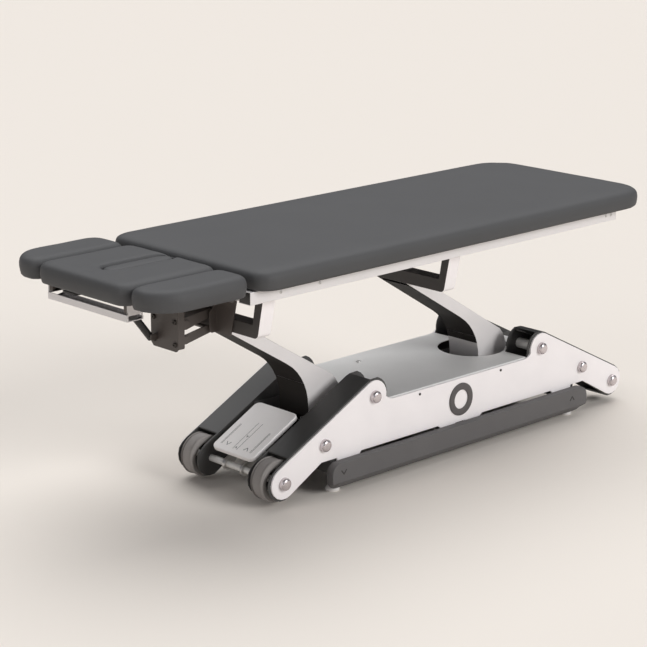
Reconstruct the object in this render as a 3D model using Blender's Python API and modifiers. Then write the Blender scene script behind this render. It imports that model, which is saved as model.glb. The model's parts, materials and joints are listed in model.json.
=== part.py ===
"""Height-adjustable physiotherapy table with a three-part head section.

Metres, +Z up. +X runs towards the foot end, +Y to the far long side, and Z = 0 is the floor.
Every X below is measured from the middle of the base; the finished table is then moved along X
until the origin is under the middle of its whole length.
"""
from math import acos, atan2, cos, degrees, hypot, radians, sin, sqrt

import bmesh
import bpy
from mathutils import Matrix, Vector

# Overall size and running gaps
HEAD_LENGTH = 0.320
FOOT_REACH = 0.715
TABLE_WIDTH = 0.650
FIT = 0.0003
SEAM = 0.0020
SHEET = 0.004

# Lift: two parallel arms of one shape
PIVOT_X = 0.288
PIVOT_Z = 0.190
ARM_SPACING = 0.707
ARM_REACH = 0.368
ARM_RISE = 0.324
ARM_WIDTH = 0.120
ARM_TIP_RADIUS = 0.019
ARM_DROOP = 9.66
NECK_WIDTH = 0.126
NECK_TURN_RADIUS = 0.165
NECK_BACK_RADIUS = 0.100
ARM_EDGE_RADIUS = 0.034
BOOT_TOP_Z = 0.275
LEVER_LENGTH = 0.060
LEVER_RADIUS = 0.021
PIN_RADIUS = 0.010
SHAFT_RADIUS = 0.0125
DRIVE_PIN_RADIUS = 0.006

# Base
BASE_HALF = 0.1965
PLATE_THICKNESS = 0.006
BOX_INNER = 0.104
END_MARGIN = 0.007
END_Z = 0.072
HUMP_SETBACK = 0.345
HUMP_Z = 0.245
MID_BOLT_SETBACK = 0.151
MID_BOLT_Z = 0.147
PLATE_END_RADIUS = 0.045
PLATE_HUMP_RADIUS = 0.047
BOX_MARGIN = 0.004
KNEE_SETBACK = 0.140
SKIRT_Z = 0.0985
TAB_Z = 0.088
BOX_FLOOR_Z = 0.1003
MOUTH_SETBACK = 0.404
PLATE_TOP_Z = 0.2245
COVER_TOP_Z = 0.2275
COVER_THICKNESS = 0.003
COVER_LIP = 0.008
HOLE_LEAD = 0.030
HOLE_RADIUS = 0.103
HOLE_END_LEAD = 0.094
ARM_CLEARANCE = 0.006
TONGUE_LEAD = 0.142
SPINE_HALF = 0.097
SPINE_FLOOR_Z = 0.0965
SPINE_TOP_Z = 0.204
SPINE_SETBACK = 0.155
BEAM_SETBACK = 0.200
BEAM_WIDTH = 0.040
BEAM_Z = 0.055
BEAM_HALF = 0.189
BEAM_WALL = 0.003
BEAM_BLOCK = 0.024
RING_Z = 0.161
RING_RADIUS = 0.049
RING_BORE = 0.029
RING_THICKNESS = 0.003
CAP_RADIUS = 0.0175
CAP_HEIGHT = 0.014
BOLT_RADIUS = 0.006
SPACER_RADIUS = 0.016
FOOT_Y = 0.177
FOOT_RADIUS = 0.021
FOOT_HEIGHT = 0.012

# Wheels and cross axle at the head end
AXLE_RADIUS = 0.010
WHEEL_RADIUS = 0.0625
WHEEL_WIDTH = 0.036
WHEEL_Y = 0.147
WHEEL_CLEARANCE = 0.004

# Foot controls
BAR_SETBACK = 0.155
BAR_LOW_Z = 0.015
BAR_TOP_Z = 0.094
BAR_THICKNESS = 0.026
BAR_GAP = 0.004
BAR_CORNER = 0.030
BAR_CHAMFER = 0.021
BAR_PIVOT_Z = 0.070
BAR_PIN_RADIUS = 0.006
PEDAL_LOW_REACH, PEDAL_LOW_Z = 0.020, 0.117
PEDAL_HIGH_REACH, PEDAL_HIGH_Z = 0.157, 0.209
PEDAL_HALF = 0.085
PEDAL_THICKNESS = 0.014
PEDAL_CORNER = 0.018
LUG_Y = 0.036
LUG_RADIUS = 0.0175
LUG_WIDTH = 0.010

# Drive inside the base
DRIVE_RADIUS = 0.020
ROD_RADIUS = 0.010
DRIVE_LENGTH = 0.270
DRIVE_GAP = 0.070
MOTOR_RADIUS = 0.028
MOTOR_LENGTH = 0.090

# Top frame
RAIL_SETBACK = 0.045
RAIL_WIDTH = 0.045
RAIL_LOW_Z = 0.6205
RAIL_HEIGHT = 0.035
RAIL_HEAD_REACH = 0.001
RAIL_FOOT_SETBACK = 0.128
TUBE_WALL = 0.002
TUBE_WIDTH = 0.030
YOKE_WEB_LEAD = 0.025
YOKE_DEPTH = 0.045
YOKE_LOW_Z = 0.504
YOKE_BAR_HEIGHT = 0.037
YOKE_SETBACK = 0.037
YOKE_LEAN = 0.021
YOKE_LEG_WIDTH = 0.029
YOKE_CORNER = 0.016
EAR_GAP = 0.0035
EAR_THICKNESS = 0.005

# Upholstery and boards
BOARD_THICKNESS = 0.010
BOARD_INSET = 0.014
PAD_THICKNESS = 0.0455
PAD_EDGE = 0.017
MAIN_OVERHANG = 0.076
HEAD_GAP = 0.017
FOOT_CORNER = 0.115
HEAD_CORNER = 0.060
PAD_CORNER = 0.035
ARM_PAD_CORNER = 0.095
ARM_PAD_WIDTH = 0.1375
SLOT_SETBACK = 0.123
SLOT_LENGTH = 0.226
SLOT_WIDTH = 0.062
SLOT_RIM = 0.008
SLOT_REAR_RIM = 0.055
PLUG_GAP = 0.0010

# Head mechanism
CARRIER_LEAD = 0.030
CARRIER_DEPTH = 0.022
CARRIER_HALF = 0.057
CARRIER_LOW_Z = 0.460
CARRIER_CORNER = 0.010
TILT_SETBACK = 0.020
TILT_Z = 0.628
LINK_MOUNT_LEAD = 0.017
LINK_UPPER_Z = 0.549
LINK_LOWER_Z = 0.506
LINK_REACH = 0.086
LINK_DROP = 0.016
LINK_UPPER_HEIGHT = 0.034
LINK_LOWER_HEIGHT = 0.026
LINK_PIN_RADIUS = 0.005
MOUNT_TOP_Z = 0.600
MOUNT_LOW_Z = 0.493
MOUNT_TOP_HALF = 0.143
MOUNT_LOW_HALF = 0.117
STRUT_LOW_LEAD, STRUT_LOW_Z = 0.0175, 0.4900
STRUT_HIGH_LEAD, STRUT_HIGH_Z = 0.109, 0.607
STRUT_Y = 0.042
STRUT_RADIUS = 0.010
STRUT_ROD_RADIUS = 0.004
STRUT_LENGTH = 0.084
STRUT_OVERLAP = 0.020
HEAD_RAIL_INSET = 0.0355
HEAD_RAIL_WIDTH = 0.012
HEAD_RAIL_HEIGHT = 0.022
BAR_FRONT_SETBACK = 0.028
BAR_DEPTH = 0.052
BAR_LOW = 0.612
BAR_LIP = 0.018
BAR_SHEET = 0.003
PADDLE_INSET = 0.068
PADDLE_WIDTH = 0.056
PADDLE_THICKNESS = 0.006
PADDLE_PIN_RADIUS = 0.003
ARM_BRACKET_INSET = 0.090
ARM_BRACKET_WIDTH = 0.030
ARM_HINGE_SETBACK = 0.030
ARM_HINGE_DROP = 0.013
BARREL_RADIUS = 0.008
HINGE_PIN_RADIUS = 0.004

# What follows from the sizes above
END_X = ARM_SPACING - END_MARGIN
LEG_REACH = END_X + PLATE_END_RADIUS + BOX_MARGIN
HUMP_X = END_X - HUMP_SETBACK
MID_BOLT_X = END_X - MID_BOLT_SETBACK
KNEE_X = END_X - KNEE_SETBACK
MOUTH_X = END_X - MOUTH_SETBACK
SPINE_END_X = END_X - SPINE_SETBACK
BEAM_X = END_X - BEAM_SETBACK
BAR_HALF = END_X - BAR_SETBACK
HOLE_X = PIVOT_X - HOLE_LEAD
HOLE_END_X = PIVOT_X + HOLE_END_LEAD
TONGUE_X = PIVOT_X + TONGUE_LEAD
TOP_PIVOT_X = PIVOT_X - ARM_REACH
TOP_PIVOT_Z = PIVOT_Z + ARM_RISE
ARM_SLOPE = degrees(atan2(ARM_RISE, ARM_REACH)) - ARM_DROOP
YOKE_WEB_X = TOP_PIVOT_X - YOKE_WEB_LEAD
HEAD_YOKE_X = YOKE_WEB_X - ARM_SPACING
MAIN_HEAD_X = HEAD_YOKE_X - MAIN_OVERHANG
HEAD_REAR_X = MAIN_HEAD_X - HEAD_GAP
HEAD_REACH = HEAD_LENGTH - HEAD_REAR_X
BASE_X = (HEAD_REACH - max(FOOT_REACH, LEG_REACH)) / 2
RAIL_HEAD_X = MAIN_HEAD_X - RAIL_HEAD_REACH
RAIL_FOOT_X = FOOT_REACH - RAIL_FOOT_SETBACK
RAIL_OUTER_Y = TABLE_WIDTH / 2 - RAIL_SETBACK
YOKE_TOP_HALF = RAIL_OUTER_Y - YOKE_SETBACK
YOKE_LOW_HALF = YOKE_TOP_HALF - YOKE_LEAN
CENTRE_HALF = TABLE_WIDTH / 2 - ARM_PAD_WIDTH - SEAM
SLOT_X = HEAD_REAR_X - SLOT_SETBACK
LINK_MOUNT_X = HEAD_YOKE_X - LINK_MOUNT_LEAD
CARRIER_PIN_X = LINK_MOUNT_X - LINK_REACH
CARRIER_X = CARRIER_PIN_X - CARRIER_LEAD
TILT_X = CARRIER_X + TILT_SETBACK
STRUT_LOW = (CARRIER_X - STRUT_LOW_LEAD, STRUT_LOW_Z)
STRUT_HIGH = (CARRIER_X - STRUT_HIGH_LEAD, STRUT_HIGH_Z)
HEAD_RAIL_Y = CENTRE_HALF - HEAD_RAIL_INSET
BAR_FRONT_X = BAR_FRONT_SETBACK - HEAD_REACH
BAR_HALF_Y = HEAD_RAIL_Y + HEAD_RAIL_WIDTH + BAR_SHEET
PADDLE_Y = HEAD_RAIL_Y - PADDLE_INSET
ARM_BRACKET_Y = TABLE_WIDTH / 2 - ARM_BRACKET_INSET
ARM_HINGE_X = HEAD_REAR_X - ARM_HINGE_SETBACK
PEDAL_LOW = (-END_X - PEDAL_LOW_REACH, PEDAL_LOW_Z)
PEDAL_HIGH = (-END_X + PEDAL_HIGH_REACH, PEDAL_HIGH_Z)
ARM_LENGTH = hypot(ARM_REACH, ARM_RISE)
BOX_OUTER = BASE_HALF - PLATE_THICKNESS - FIT
BAR_INNER_Y = BASE_HALF + BAR_GAP
BOARD_LOW_Z = RAIL_LOW_Z + RAIL_HEIGHT + FIT
PAD_LOW_Z = BOARD_LOW_Z + BOARD_THICKNESS + FIT
PAD_TOP_Z = PAD_LOW_Z + PAD_THICKNESS
YOKE_TOP_Z = RAIL_LOW_Z - FIT
CARRIER_UPPER_Z = LINK_UPPER_Z - LINK_DROP
CARRIER_LOWER_Z = LINK_LOWER_Z - LINK_DROP
LEVER_Z = PIVOT_Z - LEVER_LENGTH
ARM_HINGE_Z = BOARD_LOW_Z - ARM_HINGE_DROP
PADDLE_Z = BAR_LOW + BAR_LIP + 0.008
PADDLE_PIVOT_X = BAR_FRONT_X + BAR_DEPTH - 0.003
HEAD_PIVOT_X = PIVOT_X - ARM_SPACING
PEDAL_TILT = atan2(PEDAL_HIGH[1] - PEDAL_LOW[1], PEDAL_HIGH[0] - PEDAL_LOW[0])
PEDAL_LENGTH = hypot(PEDAL_HIGH[0] - PEDAL_LOW[0], PEDAL_HIGH[1] - PEDAL_LOW[1])
PEDAL_FRAME = (Matrix.Translation((PEDAL_LOW[0], 0, PEDAL_LOW[1]))
               @ Matrix.Rotation(-PEDAL_TILT, 4, "Y"))
PEDAL_HINGE = PEDAL_FRAME @ Vector((0, 0, -PEDAL_THICKNESS - FIT))


for old in list(bpy.data.objects):
    bpy.data.objects.remove(old)
table = bpy.data.collections.new("physiotherapy_table")
cutters = bpy.data.collections.new("cutters")
bpy.context.scene.collection.children.link(table)
bpy.context.scene.collection.children.link(cutters)


# Materials

def material(name, red, green, blue, roughness, metallic=0.0):
    finish = bpy.data.materials.new(name)
    finish.use_nodes = True
    shader = finish.node_tree.nodes["Principled BSDF"]
    shader.inputs["Base Color"].default_value = (red, green, blue, 1)
    shader.inputs["Roughness"].default_value = roughness
    shader.inputs["Metallic"].default_value = metallic
    return finish


WHITE = material("white_paint", 0.80, 0.78, 0.78, 0.35)
SILVER_PAINT = material("pearl_grey_paint", 0.66, 0.65, 0.66, 0.40)
CHARCOAL = material("charcoal_paint", 0.055, 0.052, 0.052, 0.45)
TAUPE = material("dark_taupe_paint", 0.090, 0.075, 0.070, 0.50)
COVER_GREY = material("cover_grey", 0.40, 0.40, 0.40, 0.50)
UPHOLSTERY = material("dark_grey_upholstery", 0.115, 0.115, 0.117, 0.60)
PLYWOOD = material("black_backed_plywood", 0.030, 0.028, 0.026, 0.80)
STEEL = material("zinc_steel", 0.62, 0.62, 0.61, 0.30, 1.0)
BLACK = material("black_plastic", 0.018, 0.018, 0.018, 0.45)
BAR_GREY = material("bar_grey_plastic", 0.115, 0.112, 0.112, 0.50)
PEDAL_GREY = material("pedal_grey_plastic", 0.55, 0.54, 0.53, 0.50)
TYRE_GREY = material("grey_tyre", 0.28, 0.28, 0.28, 0.70)
FOOT_WHITE = material("foot_white_plastic", 0.72, 0.71, 0.70, 0.40)


# Placing: an empty stands on each joint's axis and carries what moves there

joint_at = {}


def pivot(name, carrier, x, y, z):
    empty = bpy.data.objects.new(name, None)
    empty.empty_display_size = 0.05
    table.objects.link(empty)
    joint_at[name] = Vector((x, y, z))
    if carrier is None:
        empty.location = (BASE_X + x, y, z)
    else:
        empty.parent = carrier
        empty.location = joint_at[name] - joint_at[carrier.name]
    return empty


base = pivot("base", None, 0, 0, 0)
wheel_axis = pivot("wheel_axis", base, -END_X, 0, END_Z)
bar_axis = pivot("bar_axis", base, 0, 0, BAR_PIVOT_Z)
pedal_axis = pivot("pedal_axis", base, *PEDAL_HINGE)
lift_axis = pivot("lift_axis", base, PIVOT_X, 0, PIVOT_Z)
head_lift_axis = pivot("head_lift_axis", base, HEAD_PIVOT_X, 0, PIVOT_Z)
drive_axis = pivot("drive_axis", base, HEAD_PIVOT_X, 0, LEVER_Z)
frame_axis = pivot("frame_axis", lift_axis, TOP_PIVOT_X, 0, TOP_PIVOT_Z)
upper_link_axis = pivot("upper_link_axis", frame_axis, LINK_MOUNT_X, 0, LINK_UPPER_Z)
lower_link_axis = pivot("lower_link_axis", frame_axis, LINK_MOUNT_X, 0, LINK_LOWER_Z)
carrier_axis = pivot("carrier_axis", upper_link_axis, CARRIER_PIN_X, 0, CARRIER_UPPER_Z)
tilt_axis = pivot("tilt_axis", carrier_axis, TILT_X, 0, TILT_Z)
strut_axis = pivot("strut_axis", carrier_axis, STRUT_LOW[0], STRUT_Y, STRUT_LOW[1])
arm_rest_axis = pivot("arm_rest_axis", tilt_axis, ARM_HINGE_X, 0, ARM_HINGE_Z)
paddle_axis = pivot("paddle_axis", tilt_axis, PADDLE_PIVOT_X, 0, PADDLE_Z + PADDLE_THICKNESS / 2)


def place(obj, carrier, finish=None):
    """Hang an object, built in base coordinates, on the empty that carries it."""
    obj.parent = carrier
    obj.matrix_parent_inverse = Matrix.Translation(-joint_at[carrier.name])
    if finish is None:
        obj.hide_render = True
        obj.display_type = "WIRE"
        cutters.objects.link(obj)
    else:
        obj.data.materials.append(finish)
        table.objects.link(obj)
    return obj


# Shapes

def arc(centre, radius, start, stop, count):
    """Points on a circle from start to stop, in degrees."""
    turns = [radians(start + (stop - start) * i / count) for i in range(count + 1)]
    return [(centre[0] + radius * cos(a), centre[1] + radius * sin(a)) for a in turns]


def touch(first, first_radius, second, second_radius, side=1):
    """The angle, in degrees, at which a straight edge touches two circles on one side."""
    run, rise = second[0] - first[0], second[1] - first[1]
    lean = acos((first_radius - second_radius) / hypot(run, rise))
    return degrees(atan2(rise, run) + side * lean)


def rounded(low_u, high_u, low_v, high_v, radii, count=4):
    """A rectangle with rounded corners, from the low corner anticlockwise."""
    first, second, third, fourth = radii
    return (arc((low_u + first, low_v + first), first, 180, 270, count)
            + arc((high_u - second, low_v + second), second, 270, 360, count)
            + arc((high_u - third, high_v - third), third, 0, 90, count)
            + arc((low_u + fourth, high_v - fourth), fourth, 90, 180, count))


ACROSS = {
    "Y": Matrix(((1, 0, 0, 0), (0, 0, -1, 0), (0, 1, 0, 0), (0, 0, 0, 1))),
    "X": Matrix(((0, 0, 1, 0), (1, 0, 0, 0), (0, 1, 0, 0), (0, 0, 0, 1))),
    "Z": Matrix.Identity(4),
}


def prism(name, outline, low, high, across="Y"):
    """A flat outline given thickness from low to high along one axis.

    Its two coordinates are X, Z across Y, then Y, Z across X, and X, Y across Z.
    """
    curve = bpy.data.curves.new(name, "CURVE")
    curve.dimensions = "2D"
    curve.fill_mode = "BOTH"
    curve.extrude = abs(high - low) / 2
    spline = curve.splines.new("POLY")
    spline.points.add(len(outline) - 1)
    for point, (u, v) in zip(spline.points, outline):
        point.co = (u, v, 0, 1)
    spline.use_cyclic_u = True
    flat = bpy.data.objects.new(name, curve)
    table.objects.link(flat)
    graph = bpy.context.evaluated_depsgraph_get()
    mesh = bpy.data.meshes.new_from_object(flat.evaluated_get(graph))
    bpy.data.objects.remove(flat)
    middle = (low + high) / 2
    shift = {"X": (middle, 0, 0), "Y": (0, middle, 0), "Z": (0, 0, middle)}[across]
    mesh.transform(Matrix.Translation(shift) @ ACROSS[across])
    shape = bmesh.new()
    shape.from_mesh(mesh)
    bmesh.ops.remove_doubles(shape, verts=shape.verts, dist=0.00001)
    bmesh.ops.dissolve_degenerate(shape, dist=0.00001, edges=shape.edges)
    bmesh.ops.dissolve_limit(shape, angle_limit=radians(0.5), verts=shape.verts, edges=shape.edges)
    bmesh.ops.recalc_face_normals(shape, faces=shape.faces)
    shape.to_mesh(mesh)
    shape.free()
    mesh.name = name
    mesh.materials.clear()
    return bpy.data.objects.new(name, mesh)


def box(name, low_x, high_x, low_y, high_y, low_z, high_z):
    mesh = bpy.data.meshes.new(name)
    shape = bmesh.new()
    size = Matrix.Diagonal((high_x - low_x, high_y - low_y, high_z - low_z, 1))
    middle = Matrix.Translation(((low_x + high_x) / 2, (low_y + high_y) / 2, (low_z + high_z) / 2))
    bmesh.ops.create_cube(shape, size=1, matrix=middle @ size)
    shape.to_mesh(mesh)
    shape.free()
    return bpy.data.objects.new(name, mesh)


def turned(name, profile, x, z, steps=24):
    """A profile of (radius, Y) pairs turned about a line along Y through x, z."""
    mesh = bpy.data.meshes.new(name)
    ends_on_axis = profile[0][0] == 0
    edges = [(i, i + 1) for i in range(len(profile) - 1)]
    if not ends_on_axis:
        edges.append((len(profile) - 1, 0))
    mesh.from_pydata([(radius, 0, along) for radius, along in profile], edges, [])
    obj = bpy.data.objects.new(name, mesh)
    obj.location = (x, 0, z)
    obj.rotation_euler = (radians(-90), 0, 0)
    screw = obj.modifiers.new("turn", "SCREW")
    screw.steps = screw.render_steps = steps
    screw.use_merge_vertices = True
    screw.merge_threshold = 0.00005
    screw.use_smooth_shade = True
    return obj


def rod_between(name, first, second, radius, steps=16):
    """A round bar between two points in space."""
    first, second = Vector(first), Vector(second)
    run = second - first
    mesh = bpy.data.meshes.new(name)
    shape = bmesh.new()
    turn = run.to_track_quat("Z", "Y").to_matrix().to_4x4()
    bmesh.ops.create_cone(shape, cap_ends=True, segments=steps, radius1=radius, radius2=radius,
                          depth=run.length, matrix=Matrix.Translation((first + second) / 2) @ turn)
    shape.to_mesh(mesh)
    shape.free()
    return bpy.data.objects.new(name, mesh)


def bore(name, x, z, radius, low_y, high_y, steps=20):
    return rod_between(name, (x, low_y, z), (x, high_y, z), radius, steps)


def cut(obj, tool, operation="DIFFERENCE"):
    place(tool, base)
    change = obj.modifiers.new(tool.name, "BOOLEAN")
    change.operation = operation
    change.object = tool


def fuse(obj, tool):
    cut(obj, tool, "UNION")


def bevel(obj, width, segments=2, angle=40):
    edge = obj.modifiers.new("rounded_edges", "BEVEL")
    edge.width = width
    edge.segments = segments
    edge.limit_method = "ANGLE"
    edge.angle_limit = radians(angle)


def mirrored(outline):
    """The same outline on the other side of the middle, in the same turning sense."""
    return [(-u, v) for u, v in reversed(outline)]


SIDES = (("near", -1), ("far", 1))


def band(side, inner, outer):
    """Low and high Y of a layer that lies between two distances from the middle."""
    return (inner, outer) if side > 0 else (-outer, -inner)


# Base: side plates, leg boxes, spine, cover

def leg_outline(end_radius, hump_radius):
    """Head-end leg seen from the near side, from the valley over the hump to the knee."""
    end, hump, knee = (-END_X, END_Z), (-HUMP_X, HUMP_Z), (-KNEE_X, SKIRT_Z)
    slope = touch(end, end_radius, hump, hump_radius)
    under = touch(knee, 0, end, end_radius) + 360
    return (arc(hump, hump_radius, -10, slope, 8) + arc(end, end_radius, slope, under, 9) + [knee])


def side_plate(name, side):
    leg = leg_outline(PLATE_END_RADIUS, PLATE_HUMP_RADIUS)
    valley = [(0.011 - MOUTH_X, PLATE_TOP_Z), (-MOUTH_X - 0.002, 0.2285)]
    tabs = [(-BEAM_X, SKIRT_Z), (-BEAM_X, TAB_Z), (0.084 - BEAM_X, TAB_Z),
            (0.094 - BEAM_X, SKIRT_Z),
            (-0.095, SKIRT_Z), (-0.080, TAB_Z), (-0.024, TAB_Z), (-0.020, SKIRT_Z - 0.006)]
    half = valley + leg + tabs
    low, high = band(side, BASE_HALF - PLATE_THICKNESS, BASE_HALF)
    plate = prism(name, half + mirrored(half), low, high)
    for x in (-END_X, END_X):
        cut(plate, bore(name + "_axle_hole", x, END_Z, AXLE_RADIUS + FIT, low - 1e-3, high + 1e-3))
    for x in (-HUMP_X, HUMP_X):
        cut(plate, bore(name + "_bolt_hole", x, HUMP_Z, BOLT_RADIUS + FIT, low - 1e-3, high + 1e-3))
    for x in (-MID_BOLT_X, MID_BOLT_X):
        fuse(plate, turned(name + "_mid_cap", cap_profile(side), x, MID_BOLT_Z, 16))
    return place(plate, base, WHITE)


def cap_profile(side, base_y=BASE_HALF - 0.001, height=CAP_HEIGHT):
    """A domed bolt cap that stands out of the side plate."""
    dome = [(CAP_RADIUS * cos(radians(a)), base_y + 0.005 + (height - 0.005) * sin(radians(a)))
            for a in (90, 60, 30, 0)]
    profile = [(0, dome[0][1])] + dome[1:] + [(CAP_RADIUS, base_y), (0, base_y)]
    if side < 0:
        profile = [(radius, -along) for radius, along in reversed(profile)]
    return profile


def wheel_slot(reach):
    """Where the leg's upper strip, at this distance from the axle, first clears the wheel."""
    slope = radians(touch((-END_X, END_Z), reach, (-HUMP_X, HUMP_Z), reach + 0.002))
    along = sqrt((WHEEL_RADIUS + WHEEL_CLEARANCE) ** 2 - reach ** 2)
    return (-END_X + reach * cos(slope) + along * sin(slope),
            END_Z + reach * sin(slope) - along * cos(slope))


def leg_box(name, end, side):
    """Charcoal leg: inner and outer cheeks joined by a strip along their upper edge."""
    end_radius = PLATE_END_RADIUS + BOX_MARGIN
    hump_radius = PLATE_HUMP_RADIUS + BOX_MARGIN
    leg = leg_outline(end_radius, hump_radius)
    outline = [(-MOUTH_X, BOX_FLOOR_Z), (-MOUTH_X, 0.226)] + leg[:-1] + [(-KNEE_X, BOX_FLOOR_Z)]
    hollow = leg_outline(end_radius - SHEET, hump_radius - SHEET)
    mouth = [(-MOUTH_X + 0.1, 0.0), (-MOUTH_X + 0.1, HUMP_Z)]
    if end < 0:
        strip_end = wheel_slot(end_radius - SHEET)
        inner = [point for point in hollow if point[0] > strip_end[0] and point[1] > strip_end[1]]
        room = mouth + inner + [strip_end, (strip_end[0], 0.30), (-END_X - 0.1, 0.30),
                                (-END_X - 0.1, 0.0)]
    else:
        inner = [point for point in hollow[:-1] if point[0] > -END_X - 0.5 * end_radius]
        room = mouth + inner + [(inner[-1][0], 0.0)]
    if end > 0:
        outline, room = mirrored(outline), mirrored(room)
    low, high = band(side, BOX_INNER, BOX_OUTER)
    leg_shell = prism(name, outline, low, high)
    cut(leg_shell, prism(name + "_room", room, low + SHEET, high - SHEET))
    cut(leg_shell, bore(name + "_axle_hole", end * END_X, END_Z, AXLE_RADIUS + FIT,
                        low - 1e-3, high + 1e-3))
    cut(leg_shell, bore(name + "_bolt_hole", end * HUMP_X, HUMP_Z, BOLT_RADIUS + FIT,
                        low - 1e-3, high + 1e-3))
    return place(leg_shell, base, CHARCOAL)


def hump_bolt(name, end, side):
    """Through bolt with its spacer tube between the cheeks and a domed cap outside."""
    cap = cap_profile(1, BASE_HALF + FIT)
    nut_radius, nut_height = 0.010, 0.006
    profile = (cap[:-1] + [(BOLT_RADIUS, BASE_HALF + FIT), (BOLT_RADIUS, BOX_OUTER - SHEET - FIT),
                           (SPACER_RADIUS, BOX_OUTER - SHEET - FIT),
                           (SPACER_RADIUS, BOX_INNER + SHEET + FIT),
                           (BOLT_RADIUS, BOX_INNER + SHEET + FIT), (BOLT_RADIUS, BOX_INNER - FIT),
                           (nut_radius, BOX_INNER - FIT), (nut_radius, BOX_INNER - nut_height),
                           (0, BOX_INNER - nut_height)])
    if side < 0:
        profile = [(radius, -along) for radius, along in reversed(profile)]
    return place(turned(name, profile, end * HUMP_X, HUMP_Z, 16), base, STEEL)


def cross_axle(name, end):
    """Round bar across the base, capped outside both side plates."""
    outside = BASE_HALF + FIT
    far = cap_profile(1, outside)[:-1] + [(AXLE_RADIUS, outside)]
    near = [(radius, -along) for radius, along in reversed(far)]
    return place(turned(name, far + near, end * END_X, END_Z, 16), base, STEEL)


def spine():
    """Folded channel along the middle, with cross beams for the feet and the foot bars."""
    outline = [(-SPINE_HALF, SPINE_TOP_Z), (-SPINE_HALF, SPINE_FLOOR_Z),
               (SPINE_HALF, SPINE_FLOOR_Z), (SPINE_HALF, SPINE_TOP_Z),
               (SPINE_HALF - SHEET, SPINE_TOP_Z), (SPINE_HALF - SHEET, SPINE_FLOOR_Z + SHEET),
               (SHEET - SPINE_HALF, SPINE_FLOOR_Z + SHEET), (SHEET - SPINE_HALF, SPINE_TOP_Z)]
    channel = prism("base_spine", outline, -SPINE_END_X, SPINE_END_X, "X")
    for number, x in enumerate((-BEAM_X, 0, BEAM_X)):
        beam = box("beam_%d" % number, x - BEAM_WIDTH / 2, x + BEAM_WIDTH / 2,
                   -BEAM_HALF, BEAM_HALF, BEAM_Z, BOX_FLOOR_Z - FIT)
        fuse(channel, beam)
        room_y = BEAM_HALF - BEAM_BLOCK
        cut(channel, box("beam_room_%d" % number, x - BEAM_WIDTH / 2 + BEAM_WALL,
                         x + BEAM_WIDTH / 2 - BEAM_WALL, -room_y, room_y,
                         BEAM_Z - 0.01, SPINE_FLOOR_Z - BEAM_WALL))
    for name, side in SIDES:
        low, high = band(side, BEAM_HALF - 0.010, BAR_INNER_Y + 0.018)
        fuse(channel, bore("bar_pin_" + name, 0, BAR_PIVOT_Z, BAR_PIN_RADIUS, low, high, 16))
    for x in (PIVOT_X, HEAD_PIVOT_X):
        cut(channel, bore("shaft_hole", x, PIVOT_Z, SHAFT_RADIUS + FIT, -0.11, 0.11))
    return place(channel, base, CHARCOAL)


def cover():
    """Sheet over the middle of the base, with a round hole for the lift arm's neck."""
    half, low = BOX_OUTER - FIT, COVER_TOP_Z - COVER_THICKNESS
    outline = [(-half, COVER_TOP_Z - COVER_LIP), (COVER_THICKNESS - half, COVER_TOP_Z - COVER_LIP),
               (COVER_THICKNESS - half, low), (half - COVER_THICKNESS, low),
               (half - COVER_THICKNESS, COVER_TOP_Z - COVER_LIP), (half, COVER_TOP_Z - COVER_LIP)]
    outline += arc((half - 0.004, COVER_TOP_Z - 0.004), 0.004, 0, 90, 3)
    outline += arc((0.004 - half, COVER_TOP_Z - 0.004), 0.004, 90, 180, 3)
    sheet = prism("base_cover", outline, FIT - MOUTH_X, MOUTH_X - FIT, "X")
    tongue = BOX_INNER - FIT
    fuse(sheet, box("cover_tongue", MOUTH_X - 0.046, TONGUE_X, -tongue, tongue, low, COVER_TOP_Z))
    cut(sheet, rod_between("cover_hole", (HOLE_X, 0, 0.15), (HOLE_X, 0, 0.30), HOLE_RADIUS, 40))
    way = ARM_WIDTH / 2 + ARM_CLEARANCE
    cut(sheet, box("cover_slot", HOLE_X, HOLE_END_X, -way, way, 0.15, 0.30))
    return place(sheet, base, COVER_GREY)


def ring_bezel(name, side):
    """Plain dark ring on the middle of the side plate."""
    low, high = BASE_HALF + FIT, BASE_HALF + FIT + RING_THICKNESS
    profile = [(RING_RADIUS - 0.001, high), (RING_RADIUS, low), (RING_BORE, low), (RING_BORE, high)]
    if side < 0:
        profile = [(radius, -along) for radius, along in reversed(profile)]
    return place(turned(name, profile, 0, RING_Z, 32), base, CHARCOAL)


def levelling_foot(name, end, side):
    """Moulded foot on a threaded stem under a cross beam."""
    stem = 0.007
    profile = [(0, BEAM_Z - FIT), (stem, BEAM_Z - FIT), (stem, FOOT_HEIGHT + 0.006),
               (FOOT_RADIUS - 0.004, FOOT_HEIGHT), (FOOT_RADIUS, FOOT_HEIGHT / 2),
               (FOOT_RADIUS - 0.002, 0), (0, 0)]
    foot = turned(name, profile, 0, 0, 20)
    foot.rotation_euler = (0, 0, 0)
    foot.location = (end * BEAM_X, side * FOOT_Y, 0)
    return place(foot, base, FOOT_WHITE)


for near_far, side_of in SIDES:
    side_plate("side_plate_" + near_far, side_of)
    ring_bezel("ring_bezel_" + near_far, side_of)
    for end_name, end_of in (("head", -1), ("foot", 1)):
        leg_box("leg_box_%s_%s" % (end_name, near_far), end_of, side_of)
        hump_bolt("hump_bolt_%s_%s" % (end_name, near_far), end_of, side_of)
        levelling_foot("levelling_foot_%s_%s" % (end_name, near_far), end_of, side_of)
cross_axle("wheel_axle", -1)
cross_axle("foot_end_tie", 1)
spine()
cover()


# Wheels

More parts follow.
